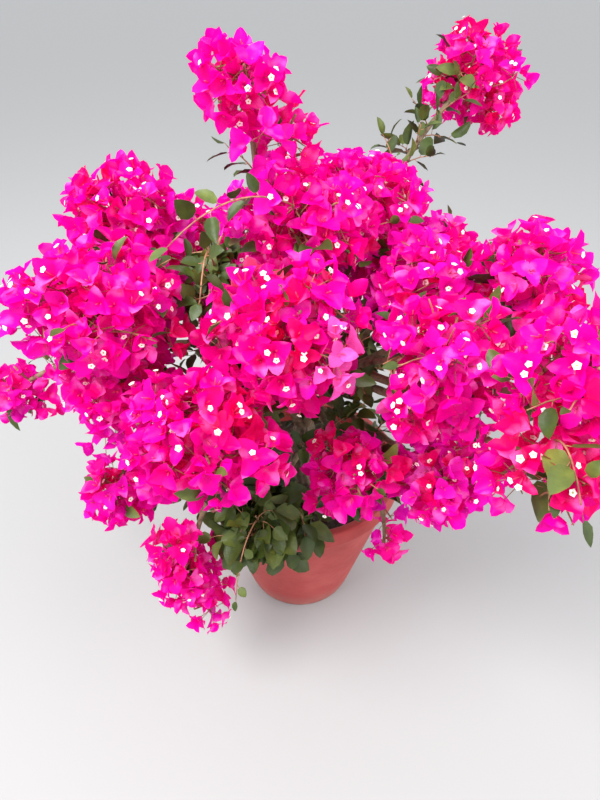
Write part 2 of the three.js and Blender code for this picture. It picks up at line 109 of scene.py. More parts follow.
# Canes and the stems that run on from them
CANE_BASE_RADIUS = 0.009
SIDE_CANE_BASE_RADIUS = 0.0065
CANE_TIP_RADIUS = 0.004
CANE_ENTERS_AT = 0.86
ENTRY_SOUGHT_FROM = 0.8
ENTRY_STEP = 0.005
CANE_RINGS = 44
CANE_SIDES = 12
CANE_NODE_EVERY = 0.047
CANE_NODE_SWELL = 0.10
COLLAR_SWELL = 0.35
COLLAR_RUN = 0.03
CANE_RELIEF = 0.035
STEM_TIP_RADIUS = 0.0022
STEM_BEYOND_CENTRE = 0.3
STEM_STARTS_AFTER = 0.02
SHORTEST_STEM = 0.05
STEM_CUT_BY = 0.04
STEM_PLACES = 14
TRUNK_STEM_AT = 0.5
LIMB_CLEARANCE = 0.002

# The source's twigs
CROWN_HEART = np.array([0.0, -0.060, 0.620])
CROWN_PULL = 0.8
LEAST_STRAIGHT = 0.15
TRIES_PER_TWIG = 6
TRY_STRIDE = 7
SPIN_JITTER = 0.7
FIRST_SEED = 101
SEED_STEP = 37
FORK_AT = 0.45
FORK_EVERY = 3
SHORTEST_TWIG = 0.25
REACH_STEP = 0.004
SPACE_MARGIN = 0.001
TWIG_REACH = 0.66
TWIG_ROOT_RADIUS = 0.0024
TWIG_TIP_RADIUS = 0.0015
TWIG_BOW = 0.1

# The finer shoots that grow on from them
SHOOT_SPACING = 0.041
FEWEST_SHOOTS = 12
AREA_POWER = 1.6
SHOOT_PLACES = np.array([0.3, 0.5, 0.7, 0.85, 1.0])[:, None]
LAYERS = 2
LAYER_TURN = 1.1
BLOOM_ROOM = 0.021
REACH_VARIES = 0.044
LUMPINESS = 0.7
LUMP_WAVES = 3
LUMP_PITCH = 6.5
FULL_LUMPS_FROM = 0.09
LAYER_DEPTH = 0.034
LEAST_REACH = 0.2
INSIDE_REACH = (0.55, 0.95)
BEHIND_BELOW = 0.3
BEHIND_COSTS = 0.05
SHORTEST_SHOOT = 0.008
SHOOT_BOW = 0.18
BOWS_UPWARD = 0.8
FROM_CROWN_HEART = 0.6
TOWARDS_LIGHT = 0.25
SHOOT_ROOT_RADIUS = 0.0014
SHOOT_TIP_RADIUS = 0.0008
ARCH_RADIUS = 0.0012
PEDICEL_RADIUS = 0.0006
LEAFY_OUTSIDE = 0.015
LEAFY_BELOW = 0.35
UNDERSIDE_BELOW = -0.35
INNER_LAYER_THINNED = 0.3
LEAFY_INSIDE = 0.32
INSIDE_LEFT_OUT = 0.35
CANE_SHOOT_EVERY = 0.022
CANE_SHOOT_LENGTH = (0.035, 0.070)
CANE_SHOOT_ONWARD = 0.5
CANE_SHOOT_UPWARD = 0.3
CANE_SHOOT_RISE = 0.15
CANE_LEAF_SIZE = 0.85
SHELL = (0.74, 1.04)
CANES_CLOTHED_BELOW = 0.68
TRUNK_SHOOTS_FROM = 0.45

# Sprays: blooms on a dome round the end of a shoot
BLOOMS_IN_SPRAY = ((8, 12), (4, 7))
SPRAY_OUTWARD = 0.9
DOME_RADIUS = 0.026
DOME_ANGLE = 1.45
DOME_VARIES = (0.8, 1.2)
DOME_SUNK = 0.75
FACING_VARIES = 0.30
FACING_UP = 0.15
STALKS_FROM = 0.010
BLOOM_SPACING = (0.0150, 0.0200)

# Blooms
BRACTS = 3
BRACT_LENGTH = 0.0255
BRACT_HALF_WIDTH = 0.0110
BRACT_SIZES = (0.80, 1.12)
OPENNESS_SPREAD = (2.2, 1.8)
BRACT_TURN_VARIES = 0.12
BRACT_SIZE_VARIES = (0.9, 1.1)
BRACT_WIDTH_VARIES = (0.88, 1.12)
BRACT_LEAN_CLOSED = 18
BRACT_LEAN_OPENS = 44
BRACT_LEAN_VARIES = 7
BRACT_FORM = {"curl": (-8, 62), "fold": (0.10, 0.55), "ripple": (0.06, 0.24), "widest": 0.74}
REAR_FROM = -0.16
TUBE_LENGTH = 0.0135
TUBE_RADIUS = 0.0010
TUBE_SIDES = 3
STAR_RADIUS = 0.0040
STAR_LOBES = 5
OPEN_STARS = 0.15
STARS_PAST_TIP = 0.0006
STAR_SIZES = (0.85, 1.1)
TUBES_SHOWN = 0.55
TUBE_TILTS = (0.15, 0.42)
OPEN_STRETCH = (0.95, 1.3)
BUD_STRETCH = (0.5, 1.0)
TUBE_STATIONS = np.array([0, 0.35, 0.8, 0.98])
BUD = np.array([0.55, 0.9, 1.0, 0.25])
OPEN_TUBE = np.array([0.55, 0.9, 0.8, 0.9])

# Leaves
LEAF_LENGTH = 0.044
LEAF_HALF_WIDTH = 0.31
LEAF_LENGTH_VARIES = (0.6, 1.12)
LEAF_WIDTH_VARIES = (0.9, 1.1)
LEAF_LEAN = (60, 84)
LEAF_FORM = {"curl": (5, 55), "fold": (0.1, 0.45), "ripple": (0.03, 0.14), "widest": 0.72}
LEAF_HEADING = (0.45, 1.0)
LAST_LEAF_HEADING = (1.0, 0.25)
LAST_LEAF_SIZE = 0.8
LEAF_RISE = 0.1
LEAF_FACING_UP = 0.8
LEAF_FACING_VARIES = 0.35
LEAF_EVERY = 0.15
LEAVES_UNDER_BLOOMS_AT = (0.2, 0.7)
LEAVES_ON_ARCH_FROM = 0.3
PETIOLE = 0.010
PETIOLE_VARIES = (0.7, 1.2)
LEAF_CLEAR_OF_BLOOM = 0.017
LEAF_SIZE_UNDER_BLOOMS = 0.8
FEW_LEAVES_BELOW = 0.8
LEAF_PAST_SKIN = 1.12
SPOT_SUNK = 0.010
SPOT_ROOT_DEPTH = 0.04
SPOT_SHOOT_RISE = 0.01
SPOT_LEAF_ROOM = 0.009
STALK_RADII = (0.0007, 0.0006)

# Every draw is taken from this one seeded stream, so each run gives the same plant
rng = np.random.default_rng(FIRST_SEED)

# Masses that bear leaves only
LEAF_MASSES = ("sprig", "inner", "over_pot")


class Mass:
    """One mass of the crown: an ellipsoid that its twigs keep to, and the cane that ends in it."""

    def __init__(self, name, place, radii, twigs, cane):
        bearing, reach, height = place
        angle = math.radians(bearing)
        self.name = name
        self.leafy = name in LEAF_MASSES
        self.centre = np.array([reach * math.cos(angle), reach * math.sin(angle), height]) / 1000
        self.radii = np.array(radii) / 1000
        self.girth = self.radii.mean()
        self.twigs = twigs
        self.cane = cane


# Name, place as bearing in degrees, reach from the pot's axis and height in mm, half sizes in mm,
# twigs, and the cane: what it leaves, at which share, and its bend's share of the run and climb
CROWN = [Mass(*row) for row in (
    ("heart", (-92, 225, 745), (125, 100, 105), 12, ("trunk", 0.96, 0.2, 0.8)),
    ("mid_top", (-89, 78, 815), (112, 100, 92), 10, ("trunk", 0.99, 0.3, 0.6)),
    ("rear_top", (55, 148, 762), (146, 122, 106), 9, ("trunk", 0.94, 0.3, 0.7)),
    ("left", (-142, 305, 758), (136, 108, 86), 10, ("trunk", 0.9, 0.35, 0.7)),
    ("right_mid", (-60, 318, 732), (108, 95, 96), 10, ("trunk", 0.92, 0.3, 0.75)),
    ("left_top", (-173, 241, 799), (98, 108, 94), 9, ("trunk", 0.84, 0.3, 0.7)),
    ("rear_right", (30, 235, 662), (135, 122, 116), 10, ("trunk", 0.86, 0.4, 0.6)),
    ("rear_left", (138, 235, 660), (132, 125, 116), 10, ("trunk", 0.8, 0.4, 0.6)),
    ("crest", (-145, 77, 980), (66, 56, 60), 8, ("mid_top", 0.7, 0.9, 0.3)),
    ("neck", (-125, 24, 908), (56, 50, 54), 5, ("mid_top", 0.82, 0.1, 0.5)),
    ("left_low", (-144, 304, 640), (94, 92, 80), 8, ("left", 0.5, 0.5, 0.4)),
    ("front_left", (-112, 322, 648), (118, 98, 92), 11, ("heart", 0.4, 0.5, 0.6)),
    ("right_shoulder", (-40, 214, 755), (92, 92, 90), 8, ("right_mid", 0.4, 0.3, 0.6)),
    ("right_top", (-34, 327, 796), (78, 84, 78), 8, ("right_mid", 0.6, 0.5, 0.5)),
    ("right_front", (-56, 463, 795), (88, 80, 78), 8, ("right_mid", 0.7, 0.6, 0.2)),
    ("right_tip", (-60, 485, 703), (74, 64, 80), 8, ("right_mid", 0.55, 0.7, 0.9)),
    ("right_low", (-50, 312, 516), (98, 84, 86), 8, ("right_mid", 0.3, 0.5, 1.1)),
    ("low_mid", (-73, 249, 522), (76, 66, 84), 8, ("heart", 0.3, 0.6, 1.1)),
    ("hang_left", (-147, 342, 430), (76, 66, 72), 7, ("left", 0.35, 0.9, -0.6)),
    ("hang_low", (-127, 300, 292), (82, 66, 126), 9, ("heart", 0.25, 0.9, -0.1)),
    ("hang_right", (-55, 243, 332), (42, 38, 36), 3, ("right_mid", 0.2, 0.95, -0.2)),
    ("side_left", (-175, 478, 520), (54, 60, 74), 6, ("left_top", 0.5, 0.7, -0.5)),
    ("back_shoot", (51, 503, 912), (108, 95, 102), 9, ("rear_top", 0.55, 0.45, 0.85)),
    ("rear_low", (84, 280, 630), (145, 122, 120), 11, ("rear_left", 0.4, 0.5, 0.6)),
    ("flank_left", (168, 322, 640), (116, 122, 110), 9, ("left_top", 0.3, 0.5, 0.6)),
    ("flank_right", (3, 326, 640), (116, 122, 112), 10, ("rear_right", 0.3, 0.5, 0.6)),
    ("sprig", (-132, 160, 772), (76, 72, 86), 8, ("left", 0.6, 0.2, 0.8)),
    ("inner", (-140, 60, 600), (110, 105, 95), 8, ("trunk", 0.9, 0.5, 0.5)),
    ("over_pot", (-108, 190, 362), (140, 92, 100), 11, None),
)]

# How thickly the sprays of a mass stand, where it isn't as thick as the rest
THICKNESS = {
    "back_shoot": 0.60, "side_left": 0.60, "hang_low": 0.60, "hang_left": 0.80, "hang_right": 0.80,
    "right_tip": 0.42, "right_low": 1.15, "crest": 1.5, "sprig": 0.42, "over_pot": 0.44,
}

# Share of a mass's outer shoots that end in leaves, where it isn't the usual
LEAFINESS = {
    "back_shoot": 0.35, "side_left": 0.05, "hang_low": 0.15, "hang_left": 0.10,
    "right_tip": 0.06, "right_low": 0.03, "crest": 0.03,
}

# Canes bear short shoots, which close the crown's dark inside and clothe its outer canes. Two
# shares say where on the cane they start, and past what part of that run some of them bloom.
CANE_SHOOTS = {
    **dict.fromkeys(("heart", "mid_top", "left", "right_mid", "left_top", "inner"), (0.3, 1)),
    **dict.fromkeys(("low_mid", "front_left", "left_low"), (0.3, 1)),
    **dict.fromkeys(("rear_top", "rear_left", "rear_right", "right_low"), (0.3, 0.8)),
    **dict.fromkeys(("hang_left", "hang_low", "hang_right"), (0.3, 0.8)),
    **dict.fromkeys(("flank_left", "flank_right"), (0.3, 0.6)),
    "side_left": (0.3, 0.7),
    "rear_low": (0.3, 0.5),
    "back_shoot": (0.45, 0.9),
    "crest": (0.35, 0.15),
    "right_front": (0.6, 0.4),
    "right_top": (0.5, 0.5),
    "right_tip": (0.75, 0),
}

# Leafy shoots that stand out between the blooms in the photo: mass, tip, room round it, leaf size
GREEN_SPOTS = [
    ("left", (-0.219, -0.220, 0.839), 0.020, 0.75),
    ("left", (-0.260, -0.289, 0.786), 0.014, 0.60),
    ("left", (-0.155, -0.272, 0.758), 0.018, 0.75),
    ("heart", (-0.106, -0.274, 0.785), 0.018, 0.85),
    ("rear_top", (0.158, 0.019, 0.786), 0.024, 0.95),
    ("rear_top", (0.185, 0.044, 0.799), 0.012, 0.60),
    ("mid_top", (-0.076, -0.093, 0.880), 0.016, 0.80),
    ("right_mid", (0.135, -0.270, 0.825), 0.015, 0.70),
    ("right_mid", (0.157, -0.321, 0.816), 0.015, 0.65),
    ("right_mid", (0.094, -0.338, 0.774), 0.016, 0.60),
    ("right_front", (0.192, -0.436, 0.791), 0.018, 0.90),
    ("right_front", (0.205, -0.407, 0.852), 0.020, 0.90),
    ("right_front", (0.223, -0.456, 0.804), 0.010, 0.45),
    ("right_tip", (0.226, -0.475, 0.740), 0.020, 0.90),
    ("right_tip", (0.255, -0.475, 0.743), 0.016, 0.80),
    ("right_tip", (0.258, -0.481, 0.684), 0.018, 0.80),
    ("low_mid", (0.109, -0.294, 0.543), 0.012, 0.60),
    ("back_shoot", (0.228, 0.336, 0.918), 0.028, 0.90),
    ("back_shoot", (0.268, 0.312, 0.930), 0.044, 0.90),
    ("left", (-0.152, -0.188, 0.694), 0.010, 1.10),
    ("left", (-0.162, -0.186, 0.700), 0.010, 1.10),
    ("front_left", (-0.138, -0.197, 0.672), 0.010, 1.10),
]

# Sprays that close gaps between the masses as in the photo: mass and tip
FLOWER_SPOTS = [
    ("heart", (-0.112, -0.232, 0.716)),
    ("front_left", (-0.024, -0.335, 0.637)),
    ("hang_low", (-0.195, -0.262, 0.400)),
    ("hang_low", (-0.205, -0.240, 0.395)),
    ("hang_low", (-0.148, -0.252, 0.188)),
    ("crest", (-0.108, -0.078, 0.968)),
    ("crest", (-0.110, -0.062, 1.003)),
    ("mid_top", (-0.048, -0.104, 0.892)),
    ("mid_top", (-0.088, -0.112, 0.862)),
    ("right_mid", (0.200, -0.299, 0.812)),
    ("right_mid", (0.197, -0.340, 0.690)),
    ("right_mid", (0.112, -0.330, 0.690)),
    ("left_low", (-0.248, -0.240, 0.590)),
    ("back_shoot", (0.297, 0.421, 0.990)),
    ("back_shoot", (0.378, 0.358, 0.845)),
]

# Openings between the blooms through which the photo shows the dark inside: place and room
OPENINGS = [
    ((0.081, -0.322, 0.757), 0.038),
    ((0.087, -0.280, 0.728), 0.042),
    ((0.093, -0.236, 0.700), 0.042),
    ((0.139, -0.095, 0.830), 0.022),
    ((-0.187, -0.302, 0.592), 0.022),
    ((-0.166, -0.316, 0.597), 0.020),
    ((-0.430, -0.048, 0.517), 0.024),
    ((0.012, -0.304, 0.644), 0.022),
    ((0.217, -0.447, 0.688), 0.028),
    ((0.232, -0.420, 0.658), 0.030),
]

# Masses that stand or hang aslant: their share of their width and height, and their run sideways
SLANTS = {
    "hang_low": (0.68, 1.0, 0.36),
    "crest": (0.84, 0.86, 0.14),
    "side_left": (0.72, 1.0, 0.0),
}

# Sprays whose colour stands out in the photo: place and tint
COLOURED_SPRAYS = [
    ((0.008, -0.345, 0.760), "blush"),
    ((0.050, -0.305, 0.785), "pale"),
    ((-0.050, -0.235, 0.840), "blush"),
]

# Size, width and droop of the leaves of a mass, where they aren't the usual
LEAF_SIZES = {"over_pot": 1.15, "inner": 1.2, "sprig": 0.62, "hang_low": 0.75}
LEAF_WIDTHS = {"over_pot": 1.3, "sprig": 1.1}
LEAF_DROOPS = {"over_pot": 0.7, "hang_low": 0.3, "right_tip": 0.4}

# Long reddish shoots that arch over the blooms in the photo: mass, bend, tip, leaves and their size
ARCHES = [
    ("mid_top", (-0.072, -0.169, 0.912), (-0.140, -0.221, 0.857), 8, 0.72),
    ("sprig", (-0.102, -0.220, 0.872), (-0.110, -0.254, 0.805), 7, 0.60),
    ("right_tip", (0.232, -0.440, 0.800), (0.251, -0.483, 0.716), 5, 0.85),
    ("over_pot", (-0.090, -0.275, 0.410), (-0.099, -0.300, 0.312), 6, 0.50),
]

# Bract tints as linear colours, and how the outer and the inner sprays of a mass share them out
TINTS = {
    "magenta": (0.95, 0.001, 0.42),
    "hot_pink": (0.95, 0.001, 0.32),
    "rose": (0.90, 0.001, 0.18),
    "violet": (0.89, 0.006, 0.51),
    "blush": (0.95, 0.09, 0.27),
    "pale": (0.95, 0.12, 0.56),
}
# Painted sheen on the bracts: the colour that their lighter spots go towards, and how far they go
SHEEN_PAINTED_TOWARDS = (1.0, 0.24, 0.80)
PAINTED_SHEEN_SHARE = 0.62
# The outer sprays take more of the violet tint, a real tint that is here partly painted highlight, and the
# inner sprays more of the rose tint as painted shade: the redder light deep in the crown
TINT_SHARES = {
    "": (0.60, 0.21, 0.05, 0.14, 0, 0),
    "inside": (0.30, 0.35, 0.30, 0.05, 0, 0),
    "right_tip": (0.27, 0.38, 0.30, 0.05, 0, 0),
    "right_low": (0.45, 0.10, 0.05, 0.40, 0, 0),
    "low_mid": (0.30, 0.38, 0.28, 0.04, 0, 0),
    "front_left": (0.52, 0.30, 0.10, 0.08, 0, 0),
    "back_shoot": (0.40, 0.40, 0.18, 0.02, 0, 0),
}
GREENS = {
    "dark": (0.036, 0.056, 0.007),
    "mid": (0.078, 0.104, 0.019),
    "young": (0.13, 0.145, 0.024),
}
GREEN_SHARES = (0.56, 0.38, 0.06)


def unit(vectors):
    return vectors / np.linalg.norm(vectors, axis=-1, keepdims=True)


def lengths(vectors):
    return np.linalg.norm(vectors, axis=-1)


def run_along(points):
    """How far along a path each of its points lies."""
    return np.concatenate([[0], np.cumsum(lengths(np.diff(points, axis=0)))])


def angles_round(count):
    """Angles in even steps once round."""
    return 2 * np.pi * np.arange(count) / count


def round_axis(radius, angle, height):
    """Points at a radius, angle and height about the Z axis."""
    return np.stack(np.broadcast_arrays(radius * np.cos(angle), radius * np.sin(angle), height), -1)


def turned(x_axis, y_axis, angle):
    """Two axes turned about the third by an angle for each pair."""
    c, s = np.cos(angle)[:, None], np.sin(angle)[:, None]
    return x_axis * c + y_axis * s, y_axis * c - x_axis * s


def any_turn(count=None):
    """Random angles once round."""
    return rng.uniform(0, 2 * np.pi, count)


def nodes_named(prefix):
    return [name for name in NODES if name.startswith(prefix)]


def of_mass(part, table):
    """The rows of a table that start with the mass's name, without it."""
    return [row[1:] for row in table if row[0] == part.name]


def seeded(seed):
    """The source's repeatable stream of numbers from 0 to 1."""
    state = seed

    def draw():
        nonlocal state
        state = (state * 1664525 + 1013904223) % 4294967296
        return state / 4294967296

    return draw


class Curve:
    """A quadratic Bezier curve."""

    def __init__(self, start, bend, end):
        self.start, self.bend, self.end = (np.asarray(p, float) for p in (start, bend, end))

    def at(self, share):
        s = np.asarray(share, float)[..., None]
        return (1 - s) ** 2 * self.start + 2 * s * (1 - s) * self.bend + s * s * self.end

    def along(self, share):
        s = np.asarray(share, float)[..., None]
        return unit((1 - s) * (self.bend - self.start) + s * (self.end - self.bend))


def depth_in(part, points):
    """How far out points lie in a mass's ellipsoid: 0 at its centre, 1 on its skin."""
    return lengths((points - part.centre) / part.radii)


def fits(part, points, margin):
    """Which points lie in the mass's own space, as in the source."""
    inside = depth_in(part, points) <= 1
    own = ((points - part.centre) ** 2).sum(-1) - part.girth**2
    for other in CROWN:
        if other is part:
            continue
        theirs = ((points - other.centre) ** 2).sum(-1) - other.girth**2
        apart = np.linalg.norm(part.centre - other.centre)
        inside &= (theirs - own) / (2 * apart) > margin
    return inside


def open_to(part, points, margin):
    """Which points lie in the mass's ellipsoid and in no other mass's own space."""
    free = depth_in(part, points) <= 1
    for other in CROWN:
        if other is not part and other.name in NEIGHBOUR_NAMES[part.name]:
            free &= ~fits(other, points, margin)
    return free


def clear_of_pot(points):
    """Which points lie neither in the pot nor in its soil."""
    beside = np.hypot(points[..., 0], points[..., 1]) > POT_LIP_RADIUS + POT_KEEP_OUT
    return beside | (points[..., 2] > POT_HEIGHT + POT_KEEP_OUT)


NEIGHBOUR_NAMES = {
    part.name: {
        other.name
        for other in CROWN
        if np.linalg.norm(other.centre - part.centre) < part.radii.max() + other.radii.max()
    }
    for part in CROWN
}


# Limbs, worked out by the source's rule

trunk_curve = Curve(
    (0, 0, SOIL_LEVEL),
    (0, 0, (SOIL_LEVEL + TRUNK_TOP) / 2),
    (*TRUNK_LEAN, TRUNK_TOP),
)


class Limb:
    """A cane from where it leaves its parent to where it enters its mass, and the stem beyond."""

    def __init__(self, part, limbs):
        parent, leave, out, rise = part.cane
        start = limbs[parent].curve.at(leave * limbs[parent].end)
        bend = start + out * (part.centre - start)
        bend[2] = start[2] + rise * (part.centre[2] - start[2])
        beyond = STEM_BEYOND_CENTRE * part.girth * unit(part.centre - bend)
        self.curve = Curve(start, bend, part.centre + beyond)
        self.end = self.entry(part)
        self.stem_end = 1.0
        self.base_radius = CANE_BASE_RADIUS if parent == "trunk" else SIDE_CANE_BASE_RADIUS

    def entry(self, part):
        share = ENTRY_SOUGHT_FROM
        while share > 0:
            point = self.curve.at(share)
            inside = depth_in(part, point) < CANE_ENTERS_AT
            if not (inside and fits(part, point, 2 * CANE_TIP_RADIUS)):
                break
            share -= ENTRY_STEP
        return share

    def radius(self, share):
        beyond = np.clip((share - self.end) / (1 - self.end), 0, 1)
        cane = self.base_radius + (CANE_TIP_RADIUS - self.base_radius) * share / self.end
        stem = CANE_TIP_RADIUS + (STEM_TIP_RADIUS - CANE_TIP_RADIUS) * beyond
        return np.where(share < self.end, cane, stem)


class Trunk:
    curve = trunk_curve
    end = 1.0


def pot_leaf_limb(part):
    """The stem of the mass that has no cane: it starts in the trunk's skin and runs straight."""
    foot = trunk_curve.at(TRUNK_STEM_AT)
    away = unit(part.centre - foot)
    start = foot + away * TRUNK_WAIST_RADIUS * 0.8 / math.hypot(away[0], away[1])
    end = part.centre + away * STEM_BEYOND_CENTRE * part.girth
    limb = Limb.__new__(Limb)
    limb.curve = Curve(start, (start + end) / 2, end)
    limb.end = STEM_STARTS_AFTER
    limb.stem_end = 1.0
    limb.base_radius = CANE_TIP_RADIUS
    return limb


limbs = {"trunk": Trunk}
for part in CROWN:
    limbs[part.name] = Limb(part, limbs) if part.cane else pot_leaf_limb(part)

LIMB_SAMPLES = np.linspace(0, 1, 40)
limb_points = {p.name: limbs[p.name].curve.at(LIMB_SAMPLES * limbs[p.name].end) for p in CROWN}
limb_radii = {p.name: limbs[p.name].radius(LIMB_SAMPLES * limbs[p.name].end) for p in CROWN}


def touches_limb(part, points, radius):
    """Whether a path of points runs into another mass's cane."""
    for other in CROWN:
        if other is part:
            continue
        apart = lengths(points[:, None] - limb_points[other.name][None])
        if (apart < limb_radii[other.name] + radius + LIMB_CLEARANCE).any():
            return True
    return False


for part in CROWN:
    limb = limbs[part.name]
    first = limb.end + STEM_STARTS_AFTER
    while limb.stem_end > first + SHORTEST_STEM:
        stretch = limb.curve.at(np.linspace(first, limb.stem_end, 20))
        if not touches_limb(part, stretch, CANE_TIP_RADIUS):
            break
        limb.stem_end -= STEM_CUT_BY


# Twigs by the source's rule

def furthest(part, directions, rule=fits):
    """How far a mass reaches along each direction, and whether its own skin is what ends it."""
    steps = np.arange(REACH_STEP, part.radii.max() + REACH_STEP, REACH_STEP)
    points = part.centre + directions[:, None] * steps[None, :, None]
    inside = np.logical_and.accumulate(rule(part, points, SPACE_MARGIN), axis=1)
    reach = inside.sum(1) * REACH_STEP
    skin = depth_in(part, part.centre + directions * (reach + REACH_STEP)[:, None]) > 1
    return reach, skin


def spiral(count, spins):
    """Directions spread evenly over a sphere, each turned on by a spin of its own."""
    step = np.arange(count)
    climb = 1 - (2 * (step + 0.5)) / count
    ring = np.sqrt(1 - climb**2)
    angle = GOLDEN_ANGLE * step + spins
    return np.stack([ring * np.cos(angle), ring * np.sin(angle), climb], -1)


def source_twigs(part, index):
    """The mass's main twigs as pairs of root and tip."""
    draw = seeded(FIRST_SEED + SEED_STEP * index)
    limb = limbs[part.name]
    outward = unit(part.centre - CROWN_HEART)
    places = limb.end + (limb.stem_end - limb.end) * np.arange(1, STEM_PLACES) / STEM_PLACES
    free = list(limb.curve.at(places))
    tries = part.twigs * TRIES_PER_TWIG
    directions = spiral(tries, 0)
    twigs = []
    for count in range(tries):
        if len(twigs) == part.twigs:
            break
        step = (count * TRY_STRIDE) % tries
        jitter = draw() * SPIN_JITTER
        draw()
        x, y, climb = directions[step]
        direction = np.array([
            x * math.cos(jitter) - y * math.sin(jitter),
            x * math.sin(jitter) + y * math.cos(jitter),
            climb,
        ])
        reach = furthest(part, direction[None])[0][0] * TWIG_REACH
        if reach < SHORTEST_TWIG * part.girth:
            continue
        at = part.centre + direction * reach
        forks = len(twigs) % FORK_EVERY == FORK_EVERY - 1
        choices = [root + FORK_AT * (tip - root) for root, tip in twigs] if forks else free
        nearest = min(range(len(choices)), key=lambda k: np.linalg.norm(choices[k] - at))
        root = choices[nearest]
        facing = unit(direction + outward * CROWN_PULL)
        if unit(at - root) @ facing < LEAST_STRAIGHT:
            continue
        if touches_limb(part, root + np.linspace(0.2, 1, 8)[:, None] * (at - root), TWIG_ROOT_RADIUS):
            continue
        if not clear_of_pot(at):
            continue
        if not forks:
            free.pop(nearest)
        twigs.append((root, at))
    return twigs


# Finer shoots

@dataclass
class Shoot:
    """One fine shoot: its path from root to tip, whether it ends in blooms, and how it bears leaves.
    Leaves of no size of their own have that of the mass."""

    part: Mass
    path: np.ndarray
    outward: np.ndarray
    blooms: bool
    order: int
    on_mass: bool = True
    leaf_size: float = 0
    leaves: tuple = (4, 8)
    leaf_room: float = LEAF_CLEAR_OF_BLOOM


def shoot_path(root, bend, tip, points=4):
    return Curve(root, bend, tip).at(np.linspace(0, 1, points))


def root_near(roots, place):
    return roots[np.argmin(lengths(roots - place))]


def lumps(directions, draws):
    """A number from 0 to 1 for each direction, which rises and falls smoothly round a mass."""
    total = np.zeros(len(directions))
    for _ in range(LUMP_WAVES):
        axis = unit(draws.normal(size=3))
        total += np.sin(LUMP_PITCH * directions @ axis + draws.uniform(0, 2 * np.pi))
    return 0.5 + 0.5 * np.clip(total / math.sqrt(LUMP_WAVES), -1, 1)


def shoot_roots(part, twigs):
    """Places on a mass's stem and main twigs that finer shoots can grow from."""
    limb = limbs[part.name]
    stem = limb.curve.at(np.linspace(limb.end, limb.stem_end, 12))
    return np.vstack([stem] + [root + SHOOT_PLACES * (tip - root) for root, tip in twigs])


def finer_shoots(part, roots):
    """Shoots in layers under the mass's skin, each from the best placed root."""
    a, b, c = part.radii**AREA_POWER
    area = 4 * math.pi * ((a * b + a * c + b * c) / 3) ** (1 / AREA_POWER)
    count = max(FEWEST_SHOOTS, int(THICKNESS.get(part.name, 1) * area / SHOOT_SPACING**2))
    crown_out = unit(part.centre - CROWN_HEART)
    varies = REACH_VARIES * min(1, part.girth / FULL_LUMPS_FROM)
    width, height, sideways = SLANTS.get(part.name, (1, 1, 0))
    lump_draws = np.random.default_rng(part.twigs + round(1000 * part.girth))
    shoots = []
    for layer in range(LAYERS):
        directions = spiral(count, layer * LAYER_TURN + rng.uniform(0, SPIN_JITTER, count))
        reach, skin = furthest(part, directions, open_to)
        hollows = LUMPINESS * lumps(directions, lump_draws)
        for direction, far, outer, hollow in zip(directions, reach, skin, hollows):
            if not outer and (layer > 0 or rng.uniform() < INSIDE_LEFT_OUT):
                continue
            if layer > 0 and rng.uniform() < INNER_LAYER_THINNED:
                continue
            leafy = LEAFY_INSIDE
            if outer:
                below = LEAFY_BELOW * (direction[2] < UNDERSIDE_BELOW)
                leafy = LEAFINESS.get(part.name, max(LEAFY_OUTSIDE, below))
            blooms = not part.leafy and rng.uniform() > leafy
            lower = hollow + (1 - LUMPINESS) * rng.uniform()
            depth = BLOOM_ROOM + layer * LAYER_DEPTH + varies * lower
            out = max(far - depth, LEAST_REACH * far) if outer else far * rng.uniform(*INSIDE_REACH)
            tip = part.centre + out * np.array([
                width * direction[0] - sideways * direction[2],
                direction[1],
                height * direction[2],
            ])
            away = lengths(roots - tip)
            behind = (tip - roots) @ direction < BEHIND_BELOW * away
            root = roots[np.argmin(away + BEHIND_COSTS * behind)]
            length = np.linalg.norm(tip - root)
            if length < SHORTEST_SHOOT or not clear_of_pot(tip):
                continue
            outward = unit(direction + FROM_CROWN_HEART * crown_out + TOWARDS_LIGHT * UP)
            bow = SHOOT_BOW * length * unit(rng.normal(size=3) + BOWS_UPWARD * UP)
            path = shoot_path(root, (root + tip) / 2 + bow, tip)
            shoots.append(Shoot(part, path, outward, blooms, layer if outer else 1))
    return shoots


def arching_shoots(part, roots):
    """The mass's long shoots, each with the number and size of its leaves."""
    arches = []
    for bend, tip, many, leaf_size in of_mass(part, ARCHES):
        root = root_near(roots, (part.centre + np.array(bend)) / 2)
        outward = unit(np.array(bend) - part.centre)
        arch = Shoot(part, shoot_path(root, bend, tip, 12), outward, False, 0, on_mass=False)
        arches.append((arch, many, leaf_size))
    return arches


def spot_shoot(part, roots, place, blooms, **leaves):
    """A shoot from the best placed root to just under a named place on a mass."""
    direction = unit(np.array(place) - part.centre)
    tip = place - direction * SPOT_SUNK
    root = root_near(roots, tip - SPOT_ROOT_DEPTH * direction)
    path = shoot_path(root, (root + tip) / 2 + SPOT_SHOOT_RISE * UP, tip)
    return Shoot(part, path, direction, blooms, 0, **leaves)


def spot_shoots(part, roots):
    shoots = []
    for place, _, size in of_mass(part, GREEN_SPOTS):
        many = (1, 2) if size < FEW_LEAVES_BELOW else (2, 4)
        leaves = {"leaf_size": size, "leaves": many, "leaf_room": SPOT_LEAF_ROOM}
        shoots.append(spot_shoot(part, roots, place, False, **leaves))
    return shoots + [spot_shoot(part, roots, place, True) for (place,) in of_mass(part, FLOWER_SPOTS)]


